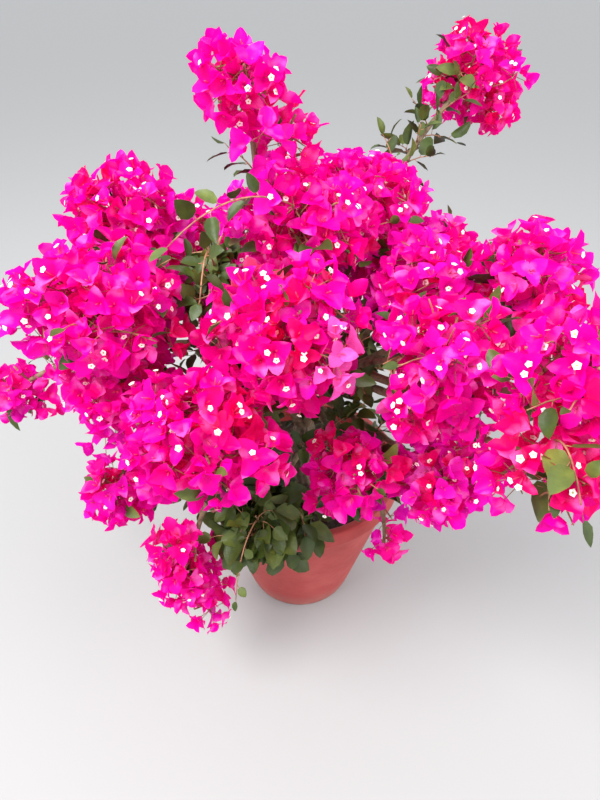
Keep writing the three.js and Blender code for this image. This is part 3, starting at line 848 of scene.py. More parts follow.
def short_shoots(part, curve, first, last, blooms_from):
    """Short shoots between two shares of a limb, leafy at first and blooming here and there past a
    share of that run. None ends in the shell of a mass, where the mass's own shoots end."""
    share = np.linspace(first, last, 60)
    run = run_along(curve.at(share))
    shoots = []
    for number, place in enumerate(np.arange(0.5, run[-1] / CANE_SHOOT_EVERY) * CANE_SHOOT_EVERY):
        at = np.interp(place, run, share)
        root = curve.at(at)
        along = curve.along(at)
        side = frames_round(along[None], np.array([GOLDEN_ANGLE * number]))[0]
        direction = unit(side[0] + CANE_SHOOT_ONWARD * along + CANE_SHOOT_UPWARD * UP)
        length = rng.uniform(*CANE_SHOOT_LENGTH)
        tip = root + length * direction
        depth = min(depth_in(other, tip) for other in CROWN)
        stands_out = blooms_from == 1 and depth > SHELL[1] and tip[2] > CANES_CLOTHED_BELOW
        if stands_out or SHELL[0] < depth < SHELL[1] or not clear_of_pot(tip):
            continue
        path = shoot_path(root, (root + tip) / 2 + CANE_SHOOT_RISE * length * UP, tip)
        blooms = number % 2 == 0 and place > blooms_from * run[-1]
        shoots.append(Shoot(part, path, direction, blooms, 1, False, CANE_LEAF_SIZE))
    return shoots


# Joined shapes

class Heap:
    """Copies of shapes that are joined into one piece."""

    def __init__(self):
        self.points = []
        self.triangles = []
        self.count = 0

    def add(self, points, triangles):
        """points is (copies, points of the shape, 3), and triangles is of one copy."""
        copies, each = points.shape[:2]
        starts = self.count + each * np.arange(copies)
        self.triangles.append((triangles[None] + starts[:, None, None]).reshape(-1, 3))
        self.points.append(points.reshape(-1, 3))
        self.count += copies * each

    def piece(self, name, material, slot, nodes=()):
        """Makes the Blender object, riding on the one body and standing for CAD nodes."""
        points = np.concatenate(self.points).astype(np.float32)
        triangles = np.concatenate(self.triangles).astype(np.int32)
        mesh = bpy.data.meshes.new(name)
        mesh.vertices.add(len(points))
        mesh.vertices.foreach_set("co", points.ravel())
        mesh.loops.add(triangles.size)
        mesh.loops.foreach_set("vertex_index", triangles.ravel())
        mesh.polygons.add(len(triangles))
        mesh.polygons.foreach_set("loop_start", np.arange(0, triangles.size, 3, dtype=np.int32))
        mesh.update(calc_edges=True)
        mesh.shade_smooth()
        mesh.materials.append(material)
        thing = bpy.data.objects.new(name, mesh)
        bpy.context.scene.collection.objects.link(thing)
        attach(thing, "root")
        if nodes:
            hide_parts(*nodes)


def tube_triangles(rings, sides, capped):
    """Triangles of a tube of rings, with a fan over each end if capped."""
    triangles = []
    for ring in range(rings - 1):
        for side in range(sides):
            a = ring * sides + side
            b = ring * sides + (side + 1) % sides
            triangles += [(a, b, b + sides), (a, b + sides, a + sides)]
    if capped:
        last = (rings - 1) * sides
        for side in range(1, sides - 1):
            triangles += [(0, side + 1, side), (last, last + side, last + side + 1)]
    return np.array(triangles)


def tubes(paths, radii, sides, relief=None):
    """Rings of points round paths, (copies, points, 3), with a radius at each point of each path."""
    along = unit(np.gradient(paths, axis=1))
    chord = unit(paths[:, -1] - paths[:, 0])
    across = np.where(np.abs(chord[:, 2:]) > 0.8, [[1.0, 0.0, 0.0]], [[0.0, 0.0, 1.0]])
    side = unit(np.cross(along, across[:, None]))
    lift = np.cross(along, side)
    angle = angles_round(sides)
    radius = radii[:, :, None] * (1 if relief is None else relief)
    rings = (
        paths[:, :, None]
        + (radius * np.cos(angle))[..., None] * side[:, :, None]
        + (radius * np.sin(angle))[..., None] * lift[:, :, None]
    )
    return rings.reshape(len(paths), -1, 3)


def add_tubes(heap, paths, start_radius, end_radius, sides):
    rings = paths.shape[1]
    taper = np.linspace(0, 1, rings)
    radii = np.broadcast_to(start_radius + (end_radius - start_radius) * taper, paths.shape[:2])
    heap.add(tubes(paths, radii, sides), tube_triangles(rings, sides, True))


# Sheets: bracts and leaves

SHEET_ROWS = 4
SHEET_COLUMNS = 5
SHEET_FIRST_ROW = 0.07
SHEET_ROWS_RUN = 0.78
CURL_POWER = 1.6
BULGE_POWER = 0.72
RIPPLES_ALONG = 1.3
RIPPLES_ACROSS = 2.2
FOLD_POWER = 1.4
FOLD_NARROWS = 0.25


def sheet_triangles():
    """Triangles of a pointed sheet: a foot point, rows of points, and a tip point."""
    rows, columns = SHEET_ROWS, SHEET_COLUMNS
    tip = 1 + rows * columns
    triangles = []
    for column in range(columns - 1):
        triangles.append((0, 2 + column, 1 + column))
        last = 1 + (rows - 1) * columns + column
        triangles.append((last, last + 1, tip))
        for row in range(rows - 1):
            a = 1 + row * columns + column
            triangles += [(a, a + 1, a + 1 + columns), (a, a + 1 + columns, a + columns)]
    return np.array(triangles)


def sheet_points(length, half_width, lean, curl, fold, ripple, widest):
    """Pointed sheets, one for each length: +X runs out from the foot, +Z is the axis they lean from.
    lean is the angle from +Z at the foot. The others are ranges to draw from: curl is how much more
    the angle is at the tip, fold how far the edges rise beside the midrib, and ripple how far they
    wave, both as shares of the half width. widest moves the broadest place along the sheet."""
    count = len(length)
    curl = np.radians(rng.uniform(*curl, count))
    fold = rng.uniform(*fold, count)
    ripple = rng.uniform(*ripple, count)
    phase = rng.uniform(0, 1, count)
    rows = SHEET_ROWS_RUN * np.arange(SHEET_ROWS) / (SHEET_ROWS - 1)
    run = np.concatenate([[0], SHEET_FIRST_ROW + rows, [1]])
    angle = lean[:, None] + curl[:, None] * run**CURL_POWER
    step = np.diff(run, prepend=0) * length[:, None]
    middle = (angle + np.roll(angle, 1, axis=1)) / 2
    x = np.cumsum(step * np.sin(middle), axis=1)
    z = np.cumsum(step * np.cos(middle), axis=1)
    bulge = np.sin(np.pi * run**widest) ** BULGE_POWER
    across = np.linspace(-1, 1, SHEET_COLUMNS)
    width = half_width[:, None, None] * bulge[None, :, None]
    waves = RIPPLES_ALONG * run[None, :, None] + phase[:, None, None]
    wave = np.sin(2 * np.pi * waves + RIPPLES_ACROSS * across)
    edge_rise = fold[:, None, None] * np.abs(across) ** FOLD_POWER
    lift = width * (edge_rise + ripple[:, None, None] * wave * across**2)
    y = width * across * (1 - FOLD_NARROWS * np.abs(fold[:, None, None]))
    grid_x = x[:, :, None] - lift * np.cos(angle)[:, :, None]
    grid_z = z[:, :, None] + lift * np.sin(angle)[:, :, None]
    grid = np.stack(np.broadcast_arrays(grid_x, y, grid_z), -1)
    inner = grid[:, 1:-1].reshape(count, -1, 3)
    centre = SHEET_COLUMNS // 2
    return np.concatenate([grid[:, :1, centre], inner, grid[:, -1:, centre]], axis=1)


def placed(points, origin, x_axis, y_axis, z_axis):
    return (
        origin[:, None]
        + points[..., 0:1] * x_axis[:, None]
        + points[..., 1:2] * y_axis[:, None]
        + points[..., 2:3] * z_axis[:, None]
    )


def frames_round(facing, turn):
    """Two axes square to each facing and to one another, turned about it."""
    flat = np.where(np.abs(facing[:, 2:]) > 0.95, [[1.0, 0.0, 0.0]], [[0.0, 0.0, 1.0]])
    side = unit(np.cross(flat, facing))
    up = np.cross(facing, side)
    return turned(side, up, turn)


# Grow the crown

woody = Heap()
shoots_heap = Heap()
all_shoots = []
arches = []
for index, part in enumerate(CROWN):
    twigs = source_twigs(part, index)
    if twigs:
        feet, tips = (np.array(ends) for ends in zip(*twigs))
        bows = TWIG_BOW * lengths(tips - feet)[:, None] * unit(rng.normal(size=feet.shape) + UP)
        bends = (feet + tips) / 2 + bows
        paths = np.array([shoot_path(f, b, t, 7) for f, b, t in zip(feet, bends, tips)])
        add_tubes(woody, paths, TWIG_ROOT_RADIUS, TWIG_TIP_RADIUS, 6)
    roots = shoot_roots(part, twigs)
    all_shoots += finer_shoots(part, roots) + spot_shoots(part, roots)
    arches += arching_shoots(part, roots)
    if part.name in CANE_SHOOTS:
        limb = limbs[part.name]
        first, blooms_from = CANE_SHOOTS[part.name]
        all_shoots += short_shoots(part, limb.curve, first * limb.end, limb.end, blooms_from)
    if part.name == "inner":
        all_shoots += short_shoots(part, trunk_curve, TRUNK_SHOOTS_FROM, 1, 1)

# Sprays, thinned where their blooms would crowd one another

NEIGHBOURS = [(i, j, k) for i in (-1, 0, 1) for j in (-1, 0, 1) for k in (-1, 0, 1)]


def thinned(points, order, spacings):
    """The points that stay, taken in order, when each keeps its own spacing from those before."""
    cell_size = max(spacings)
    cells = {}
    kept = []
    for k in order:
        x, y, z = points[k]
        a, b, c = int(x // cell_size), int(y // cell_size), int(z // cell_size)
        near = [q for i, j, l in NEIGHBOURS for q in cells.get((a + i, b + j, c + l), ())]
        limit = spacings[k] ** 2
        if any((x - p) ** 2 + (y - q) ** 2 + (z - r) ** 2 < limit for p, q, r in near):
            continue
        kept.append(k)
        cells.setdefault((a, b, c), []).append((x, y, z))
    return np.sort(kept)


CLEARINGS = [(place, room) for _, place, room, _ in GREEN_SPOTS] + OPENINGS


def spray(number, shoot):
    """Blooms on a dome round a shoot's tip: centre, facing, foot of the stalk and the shoot."""
    tip = shoot.path[-1]
    heading = unit(unit(tip - shoot.path[-2]) + SPRAY_OUTWARD * shoot.outward)
    many = rng.integers(*BLOOMS_IN_SPRAY[min(shoot.order, 1)])
    side, up = frames_round(heading[None], any_turn(1))
    blooms = []
    for k in range(many):
        spin = GOLDEN_ANGLE * k
        polar = DOME_ANGLE * math.sqrt(k / max(many - 1, 1))
        spoke = side[0] * math.cos(spin) + up[0] * math.sin(spin)
        normal = heading * math.cos(polar) + spoke * math.sin(polar)
        radius = DOME_RADIUS * rng.uniform(*DOME_VARIES)
        centre = tip + radius * normal - DOME_SUNK * DOME_RADIUS * heading
        facing = unit(normal + FACING_VARIES * rng.normal(size=3) + FACING_UP * UP)
        if shoot.on_mass and depth_in(shoot.part, centre - BRACT_LENGTH / 2 * facing) > 1:
            continue
        if not clear_of_pot(centre):
            continue
        if any(np.linalg.norm(centre - place) < room for place, room in CLEARINGS):
            continue
        blooms.append((centre, facing, tip - heading * STALKS_FROM, number))
    return blooms


blooms = []
for number, shoot in enumerate(all_shoots):
    if shoot.blooms:
        blooms += spray(number, shoot)
bloom_centre, bloom_facing, bloom_foot, bloom_shoot = (np.array(column) for column in zip(*blooms))
bloom_order = np.array([min(all_shoots[s].order, 1) for s in bloom_shoot])
order = np.lexsort((rng.uniform(size=len(blooms)), bloom_order))
kept = thinned(bloom_centre.tolist(), order.tolist(), np.array(BLOOM_SPACING)[bloom_order].tolist())
bloom_centre, bloom_facing, bloom_foot, bloom_shoot, bloom_order = (
    column[kept] for column in (bloom_centre, bloom_facing, bloom_foot, bloom_shoot, bloom_order)
)
bloom_count = len(kept)
flowering = set(bloom_shoot.tolist())
bloom_tree = KDTree(bloom_count)
for k, centre in enumerate(bloom_centre):
    bloom_tree.insert(centre, k)
bloom_tree.balance()

# Shoots: those whose blooms all stayed out are left out too
kept_shoots = [
    (number, shoot)
    for number, shoot in enumerate(all_shoots)
    if number in flowering or not shoot.blooms
]
shoot_paths = np.array([shoot.path for _, shoot in kept_shoots])
add_tubes(shoots_heap, shoot_paths, SHOOT_ROOT_RADIUS, SHOOT_TIP_RADIUS, 3)
add_tubes(shoots_heap, np.array([arch.path for arch, _, _ in arches]), ARCH_RADIUS, SHOOT_TIP_RADIUS, 5)
pedicels = np.stack([bloom_foot, bloom_centre], axis=1)
add_tubes(shoots_heap, pedicels, PEDICEL_RADIUS, PEDICEL_RADIUS, 3)

# Bracts, dealt out to the tints by spray
size = rng.uniform(*BRACT_SIZES, bloom_count)
openness = rng.beta(*OPENNESS_SPREAD, bloom_count)
bloom_x, bloom_y = frames_round(bloom_facing, any_turn(bloom_count))
names = list(TINTS)
shoot_tint = {}
for number in sorted(flowering):
    shoot = all_shoots[number]
    # Inner sprays draw from the shares with more rose, as painted shade
    inside = shoot.order and shoot.on_mass
    shares = TINT_SHARES.get("inside" if inside else shoot.part.name, TINT_SHARES[""])
    shoot_tint[number] = rng.choice(len(names), p=shares)
for place, name in COLOURED_SPRAYS:
    nearest = min(
        (number for number in flowering if all_shoots[number].order == 0),
        key=lambda number: np.linalg.norm(all_shoots[number].path[-1] - place),
    )
    shoot_tint[nearest] = names.index(name)
bloom_tint = np.array([shoot_tint[s] for s in bloom_shoot])
sheet = sheet_triangles()
bloom_at_rear = bloom_centre[:, 1] > REAR_FROM
bract_heaps = {(name, end): Heap() for name in names for end in ("front", "rear")}
for bract in range(BRACTS):
    middle = 2 * math.pi * bract / BRACTS + rng.normal(0, BRACT_TURN_VARIES, bloom_count)
    x_axis, y_axis = turned(bloom_x, bloom_y, middle)
    own_size = size * rng.uniform(*BRACT_SIZE_VARIES, bloom_count)
    lean = BRACT_LEAN_CLOSED + BRACT_LEAN_OPENS * openness
    lean = np.radians(lean + rng.normal(0, BRACT_LEAN_VARIES, bloom_count))
    half_width = BRACT_HALF_WIDTH * own_size * rng.uniform(*BRACT_WIDTH_VARIES, bloom_count)
    shape = sheet_points(BRACT_LENGTH * own_size, half_width, lean, **BRACT_FORM)
    points = placed(shape, bloom_centre, x_axis, y_axis, bloom_facing)
    for tint, name in enumerate(names):
        for end, there in (("front", ~bloom_at_rear), ("rear", bloom_at_rear)):
            mine = there & (bloom_tint == tint)
            if mine.any():
                bract_heaps[name, end].add(points[mine], sheet)

# Flower tubes beside some bracts of the outer blooms, and an open white star on some of them
tubes_heap, stars_heap, eyes_heap = Heap(), Heap(), Heap()
ring_count = 2 * STAR_LOBES
star_angle = angles_round(ring_count)
star_outer = np.where(np.arange(ring_count) % 2, 0.78, 1.0)
star_shape = np.concatenate([
    round_axis(star_outer, star_angle, 0.10),
    round_axis(0.50, star_angle, 0.16),
    round_axis(0.26, star_angle, 0.02),
]) * STAR_RADIUS
eye_shape = np.concatenate([round_axis(0.31, star_angle[::2], 0.03), [[0, 0, -0.04]]]) * STAR_RADIUS
star_triangles = tube_triangles(3, ring_count, False)
eye_triangles = np.array([(k, (k + 1) % STAR_LOBES, STAR_LOBES) for k in range(STAR_LOBES)])
outer = bloom_order == 0
outer_count = outer.sum()
for bract in range(BRACTS):
    middle = 2 * math.pi * bract / BRACTS + rng.normal(0, 0.2, outer_count)
    spoke = turned(bloom_x[outer], bloom_y[outer], middle)[0]
    tilt = rng.uniform(*TUBE_TILTS, outer_count)[:, None]
    heading = unit(bloom_facing[outer] + spoke * tilt)
    opened = rng.uniform(size=outer_count) < OPEN_STARS
    shown = opened | (rng.uniform(size=outer_count) < TUBES_SHOWN)
    open_stretch = rng.uniform(*OPEN_STRETCH, outer_count)
    stretch = np.where(opened, open_stretch, rng.uniform(*BUD_STRETCH, outer_count))
    foot = bloom_centre[outer] + 0.001 * spoke
    tip = foot + heading * (TUBE_LENGTH * size[outer] * stretch)[:, None]
    paths = foot[:, None] + (tip - foot)[:, None] * TUBE_STATIONS[:, None]
    radii = TUBE_RADIUS * np.where(opened[:, None], OPEN_TUBE, BUD)
    tubes_heap.add(tubes(paths[shown], radii[shown], TUBE_SIDES), tube_triangles(4, TUBE_SIDES, True))
    face = unit(heading + 0.15 * rng.normal(size=heading.shape))[opened]
    axes = (*frames_round(face, any_turn(opened.sum())), face)
    star_size = rng.uniform(*STAR_SIZES, opened.sum())[:, None, None]
    star_middle = tip[opened] + STARS_PAST_TIP * face
    stars_heap.add(placed(star_shape[None] * star_size, star_middle, *axes), star_triangles)
    eyes_heap.add(placed(eye_shape[None] * star_size, star_middle, *axes), eye_triangles)

# Leaves along the shoots, alternate, with more and larger ones on the leafy ones

def leaves_on(shoot, shares, ends_in_leaf, size, clearance):
    """Leaves at shares of a shoot's run, each as the foot of its stalk, its own foot, the way that
    it runs, the way that it faces, its length and its width."""
    name = shoot.part.name
    path = shoot.path
    rise = LEAF_RISE - LEAF_DROOPS.get(name, 0)
    spin = any_turn()
    leaves = []
    for k, share in enumerate(shares):
        place = share * (len(path) - 1)
        low = min(int(place), len(path) - 2)
        stalk = path[low] + (place - low) * (path[low + 1] - path[low])
        axis = unit(path[low + 1] - path[low])
        side = frames_round(axis[None], np.array([spin + GOLDEN_ANGLE * k]))[0][0]
        last = ends_in_leaf and k == len(shares) - 1
        onward, sideways = LAST_LEAF_HEADING if last else LEAF_HEADING
        along = unit(axis * onward + side * sideways + rise * UP)
        facing = unit(shoot.outward + LEAF_FACING_UP * UP + LEAF_FACING_VARIES * rng.normal(size=3))
        facing = unit(facing - (facing @ along) * along)
        length = LEAF_LENGTH * size * rng.uniform(*LEAF_LENGTH_VARIES)
        length *= LAST_LEAF_SIZE if last else 1
        foot = stalk + along * PETIOLE * size * rng.uniform(*PETIOLE_VARIES)
        tip = foot + along * length
        if not clear_of_pot(np.array([foot, tip])).all():
            continue
        if shoot.on_mass and depth_in(shoot.part, tip) > LEAF_PAST_SKIN:
            continue
        if bloom_tree.find(foot + 0.5 * along * length)[2] < clearance:
            continue
        leaves.append((stalk, foot, along, facing, length, LEAF_WIDTHS.get(name, 1.0)))
    return leaves


leaves = []
for number, shoot in kept_shoots:
    leafy = number not in flowering
    many = rng.integers(*shoot.leaves) if leafy else rng.integers(0, 2)
    if leafy:
        shares = np.linspace(1 - LEAF_EVERY * many, 1.0, many)
    else:
        shares = rng.uniform(*LEAVES_UNDER_BLOOMS_AT, many)
    size_here = shoot.leaf_size or LEAF_SIZES.get(shoot.part.name, 1.0)
    size_here *= 1 if leafy else LEAF_SIZE_UNDER_BLOOMS
    leaves += leaves_on(shoot, shares, leafy, size_here, shoot.leaf_room)
for arch, many, size_here in arches:
    leaves += leaves_on(arch, np.linspace(LEAVES_ON_ARCH_FROM, 1, many), True, size_here, 0)
leaf_stalk, leaf_base, leaf_along, leaf_up, leaf_length, leaf_width = (
    np.array(column) for column in zip(*leaves)
)
leaf_count = len(leaves)
add_tubes(shoots_heap, np.stack([leaf_stalk, leaf_base], 1), *STALK_RADII, 3)
leaf_side = np.cross(leaf_up, leaf_along)
half_width = LEAF_HALF_WIDTH * leaf_length * leaf_width * rng.uniform(*LEAF_WIDTH_VARIES, leaf_count)
shape = sheet_points(leaf_length, half_width, np.radians(rng.uniform(*LEAF_LEAN, leaf_count)), **LEAF_FORM)
leaf_points = placed(shape, leaf_base, leaf_along, leaf_side, leaf_up)
leaf_tint = rng.choice(len(GREENS), size=leaf_count, p=GREEN_SHARES)


# Bark

def bark_relief(angle, run, depth):
    """Ridges that run along a limb and wander round it, as a factor on its radius."""
    total = np.zeros(np.broadcast(angle, run).shape)
    for waves, pitch, share in BARK_WAVES:
        phase = any_turn()
        wander = 0.5 * np.sin(pitch * 1.7 * run + phase)
        total += share * (1 - 2 * np.abs(np.sin(0.5 * (waves * angle + pitch * run + phase) + wander)))
    return 1 + depth * total


def add_limb(heap, path, radius, relief):
    """Adds a limb of rings along a path, with relief as a factor on its radius at each point."""
    rings, sides = relief.shape
    heap.add(tubes(path[None], radius[None], sides, relief[None]), tube_triangles(rings, sides, True))


def trunk_piece(material):
    heap = Heap()
    share = np.linspace(0, 1, TRUNK_RINGS)
    path = trunk_curve.at(share)
    path[0, 2] -= TRUNK_SUNK
    angle = angles_round(TRUNK_SIDES)
    flare = np.clip(1 - (path[:, 2] - SOIL_LEVEL) / TRUNK_FLARE_HEIGHT, 0, 1.1) ** 2
    shaft = TRUNK_WAIST_RADIUS + (TRUNK_HEAD_RADIUS - TRUNK_WAIST_RADIUS) * share
    lobes = 1 + ROOT_LOBE_DEPTH * flare[:, None] * np.cos(ROOT_LOBES * angle[None])
    radius = shaft + (TRUNK_FOOT_RADIUS - TRUNK_WAIST_RADIUS) * flare
    knuckle = 1 + KNUCKLE_SWELL * np.exp(-(((share - KNUCKLE_AT) / KNUCKLE_SPREAD) ** 2))
    past = (share - TRUNK_ROUNDED_FROM) / (1 - TRUNK_ROUNDED_FROM)
    crown = np.sqrt(np.clip(1 - past**2, 0, 1))
    radius = radius * knuckle * np.where(past > 0, np.maximum(crown, 0.04), 1)
    ridges = bark_relief(angle[None], path[:, 2:], BARK_RIDGE / TRUNK_WAIST_RADIUS)
    add_limb(heap, path, radius, lobes * ridges)
    heap.piece("trunk_bark", material, "bark", ["trunk"])


def cane_piece(material):
    heap = Heap()
    angle = angles_round(CANE_SIDES)
    for part in CROWN:
        limb = limbs[part.name]
        share = np.linspace(0, limb.stem_end, CANE_RINGS)
        path = limb.curve.at(share)
        run = run_along(path)
        node = np.cos(np.pi * run / CANE_NODE_EVERY + rng.uniform(0, np.pi)) ** 8
        collar = COLLAR_SWELL * np.exp(-((run / COLLAR_RUN) ** 2))
        ridges = bark_relief(angle[None], run[:, None], CANE_RELIEF)
        swell = (1 + CANE_NODE_SWELL * node + collar)[:, None] * ridges
        add_limb(heap, path, limb.radius(share), swell)
    heap.piece("cane_bark", material, "bark", nodes_named("cane_"))


# Pot and soil

def pot_inside(height):
    """The radius of the pot's inside at a height."""
    return POT_BASE_RADIUS - POT_WALL + POT_SLOPE * height


SOIL_RADIUS = pot_inside(SOIL_LEVEL) - SOIL_GAP


def arc(centre, radius, start, end, steps):
    """Points of an arc of a profile, with angles in degrees from the outward direction."""
    angles = np.radians(np.linspace(start, end, steps))
    return [(centre[0] + radius * math.cos(a), centre[1] + radius * math.sin(a)) for a in angles]


def pot_piece(material):
    """A turned shell with a round lip, its radius a little out of round."""
    lip_x = POT_LIP_RADIUS - POT_LIP_ROUND
    rim_x = POT_NECK_RADIUS - POT_WALL + POT_RIM_ROUND
    profile = [(NEAR_AXIS, 0.0), (POT_BASE_RADIUS - 0.03, 0.0)]
    profile += arc((POT_BASE_RADIUS - POT_BASE_ROUND, POT_BASE_ROUND), POT_BASE_ROUND, -90, 0, 6)
    wall_heights = np.linspace(0.02, POT_LIP_FOOT - 0.004, 12)
    profile += [(POT_BASE_RADIUS + POT_SLOPE * z, z) for z in wall_heights]
    profile += [(POT_NECK_RADIUS + POT_GROOVE, POT_LIP_FOOT - 0.001)]
    profile += arc((lip_x, POT_LIP_FOOT + POT_LIP_ROUND), POT_LIP_ROUND, -90, 0, 6)
    profile += arc((lip_x, POT_HEIGHT - POT_LIP_ROUND), POT_LIP_ROUND, 0, 90, 6)
    profile += arc((rim_x, POT_HEIGHT - POT_RIM_ROUND), POT_RIM_ROUND, 90, 180, 5)
    profile += [(pot_inside(z), z) for z in np.linspace(POT_LIP_FOOT, POT_FLOOR, 8)]
    profile += [(NEAR_AXIS, POT_FLOOR)]
    profile = np.array(profile)
    angle = angles_round(POT_SIDES)
    swell = 1 + POT_OUT_OF_ROUND * np.sin(2 * angle + 0.6)
    points = round_axis(profile[:, :1] * swell, angle, profile[:, 1:])
    heap = Heap()
    heap.add(points.reshape(1, -1, 3), tube_triangles(len(profile), POT_SIDES, True))
    heap.piece("pot_shell", material, "pot", ["pot"])


def soil_piece(material):
    """A crumbly bed that slopes up a little to the trunk."""
    radius = SOIL_RADIUS * np.sqrt(np.linspace(0.0001, 1, SOIL_RINGS))
    angle = angles_round(SOIL_SIDES)
    bed = round_axis(radius[:, None], angle, 0)
    x, y = bed[..., 0], bed[..., 1]
    lumps = np.zeros(x.shape)
    for waves in SOIL_WAVES:
        a, b, c = any_turn(3)
        along = x * math.cos(a) + y * math.sin(a)
        square = y * math.cos(a) - x * math.sin(a)
        lumps += np.sin(waves * along + b) * np.sin(waves * square + c) * SOIL_ROUGHNESS / waves
    rise, reach = SOIL_MOUND
    bed[..., 2] = SOIL_LEVEL - SOIL_SUNK + lumps + rise * np.exp(-((radius[:, None] / reach) ** 2))
    bed[-1, :, 2] = SOIL_LEVEL - SOIL_EDGE_SUNK
    deep = round_axis(SOIL_RADIUS * 0.98, angle, SOIL_LEVEL - SOIL_THICKNESS)
    heap = Heap()
    points = np.concatenate([bed.reshape(-1, 3), deep])[None]
    heap.add(points, tube_triangles(SOIL_RINGS + 1, SOIL_SIDES, True))
    heap.piece("soil_bed", material, "soil", ["soil"])


def chips_piece(material):
    """Bark chips that lie in the bed at all angles, each an uneven block."""
    reach = (SOIL_RADIUS - CHIPS_CLEAR_OF_WALL) * np.sqrt(rng.uniform(0.04, 1, CHIPS))
    place = round_axis(reach, any_turn(CHIPS), SOIL_LEVEL - CHIPS_SUNK)
    corners = np.array([(i, j, k) for k in (-1, 1) for j in (-1, 1) for i in (-1, 1)], float)
    sizes = rng.uniform(*CHIP_SIZES, (CHIPS, 3))
    lumpy = corners[None] * sizes[:, None] * rng.uniform(0.7, 1.1, (CHIPS, 8, 1))
    facing = unit(UP + 0.45 * rng.normal(size=(CHIPS, 3)))
    axes = frames_round(facing, any_turn(CHIPS))
    block = np.array([
        (0, 2, 1), (1, 2, 3), (4, 5, 6), (5, 7, 6), (0, 1, 4), (1, 5, 4),
        (2, 6, 3), (3, 6, 7), (0, 4, 2), (2, 4, 6), (1, 3, 5), (3, 7, 5),
    ])
    heap = Heap()
    heap.add(placed(lumpy, place, *axes, facing), block)
    heap.piece("soil_chips", material, "soil")


# Materials

class Finish:
    """A Principled material with values set on its own sockets, and the textures added to it."""

    def __init__(self, name, colour, roughness, specular=0.5):
        self.material = bpy.data.materials.new(name)
        self.material.use_nodes = True
        self.nodes = self.material.node_tree.nodes
        self.link = self.material.node_tree.links.new
        self.shader = self.nodes["Principled BSDF"]
        self.shader.inputs["Base Color"].default_value = (*colour, 1)
        self.shader.inputs["Roughness"].default_value = roughness
        self.shader.inputs["Specular IOR Level"].default_value = specular

    def node(self, kind, **values):
        """A new node; an underscore in the name of a value stands for a space."""
        node = self.nodes.new(f"ShaderNode{kind}")
        for name, value in values.items():
            node.inputs[name.replace("_", " ")].default_value = value
        return node

    def texture(self, kind, scale, **values):
        """A texture node in the object's own coordinates."""
        node = self.node(f"Tex{kind}", Scale=scale, **values)
        self.link(self.node("TexCoord").outputs["Object"], node.inputs["Vector"])
        return node

    def noise(self, scale, **values):
        return self.texture("Noise", scale, **values).outputs["Fac"]

    def net(self, scale):
        """How far a point is from the lines of a net."""
        node = self.texture("Voronoi", scale)
        node.feature = "DISTANCE_TO_EDGE"
        return node.outputs["Distance"]

    def ramp(self, factor, *stops):
        """A colour ramp with stops of position and colour."""
        node = self.node("ValToRGB")
        while len(node.color_ramp.elements) < len(stops):
            node.color_ramp.elements.new(0.5)
        for element, (position, colour) in zip(node.color_ramp.elements, stops):
            element.position = position
            element.color = (*colour, 1)
        self.link(factor, node.inputs["Fac"])
        return node.outputs["Color"]

    def mixed(self, blend):
        """A node that mixes two colours."""
        node = self.node("Mix")
        node.data_type = "RGBA"
        node.blend_type = blend
        return node

    def mapped(self, value, **ends):
        """A value brought from one range to another."""
        node = self.node("MapRange", **ends)
        self.link(value, node.inputs["Value"])
        return node.outputs["Result"]

    def feed(self, name, output):
        """Links an output to one of the shader's sockets."""
        self.link(output, self.shader.inputs[name])

    def bump(self, height, strength, distance):
        node = self.node("Bump", Strength=strength, Distance=distance)
        self.link(height, node.inputs["Height"])
        self.feed("Normal", node.outputs["Normal"])

    def thin(self, colour, share):
        """Lets light through a thin sheet: a Translucent shader mixed in by a share."""
        through = self.node("BsdfTranslucent", Color=(*colour, 1))
        mix = self.node("MixShader", Fac=share)
        self.link(self.shader.outputs["BSDF"], mix.inputs[1])
        self.link(through.outputs["BSDF"], mix.inputs[2])
        self.link(mix.outputs["Shader"], self.nodes["Material Output"].inputs["Surface"])


def shade(colour, factor):
    return tuple(min(1.0, channel * factor) for channel in colour)


def bract_material(name, colour):
    """Papery bract: lighter spots of painted sheen, a net of fine veins, crinkles, and light that comes
    through.
    """
    finish = Finish(f"bract_{name}", colour, 0.45, 0.10)
    # pale is painted sheen: spots of each bract made lighter as if they caught the sky's light
    pale = tuple(c + PAINTED_SHEEN_SHARE * (limit - c) for c, limit in zip(colour, SHEEN_PAINTED_TOWARDS))
    painted_sheen_noise = finish.noise(42, Detail=1.5)
    tone = finish.ramp(painted_sheen_noise, (0.42, shade(colour, 0.95)), (0.55, colour), (0.68, pale))
    veins = finish.ramp(finish.net(330), (0.0, (0.74,) * 3), (0.12, (0.97,) * 3), (0.6, (1.0,) * 3))
    veined = finish.mixed("MULTIPLY")
    veined.inputs["Factor"].default_value = 1
    finish.link(tone, veined.inputs["A"])
    finish.link(veins, veined.inputs["B"])
    finish.feed("Base Color", veined.outputs["Result"])
    finish.bump(finish.noise(240, Detail=3.0), 0.35, 0.0012)
    finish.thin(shade(colour, 1.05), 0.46)
    return finish.material


def leaf_material(name, colour):
    """Leathery leaf: a green that goes paler in spots, with a raised net of veins."""
    finish = Finish(f"leaf_{name}", colour, 0.48, 0.32)
    pale = tuple(channel * factor for channel, factor in zip(colour, (1.5, 1.35, 1.2)))
    mottle = finish.noise(60, Detail=4.0)
    tone = finish.ramp(mottle, (0.3, shade(colour, 0.7)), (0.55, colour), (0.75, pale))
    finish.feed("Base Color", tone)
    finish.bump(finish.net(180), 0.3, 0.0012)
    return finish.material


def bark_material(name, dark, light, scale):
    finish = Finish(name, light, 0.85, 0.25)
    grain = finish.noise(scale, Detail=7.0, Roughness=0.65)
    tone = finish.ramp(grain, (0.30, dark), (0.52, light), (0.70, shade(light, 1.35)))
    finish.feed("Base Color", tone)
    finish.bump(grain, 0.6, 0.002)
    return finish.material


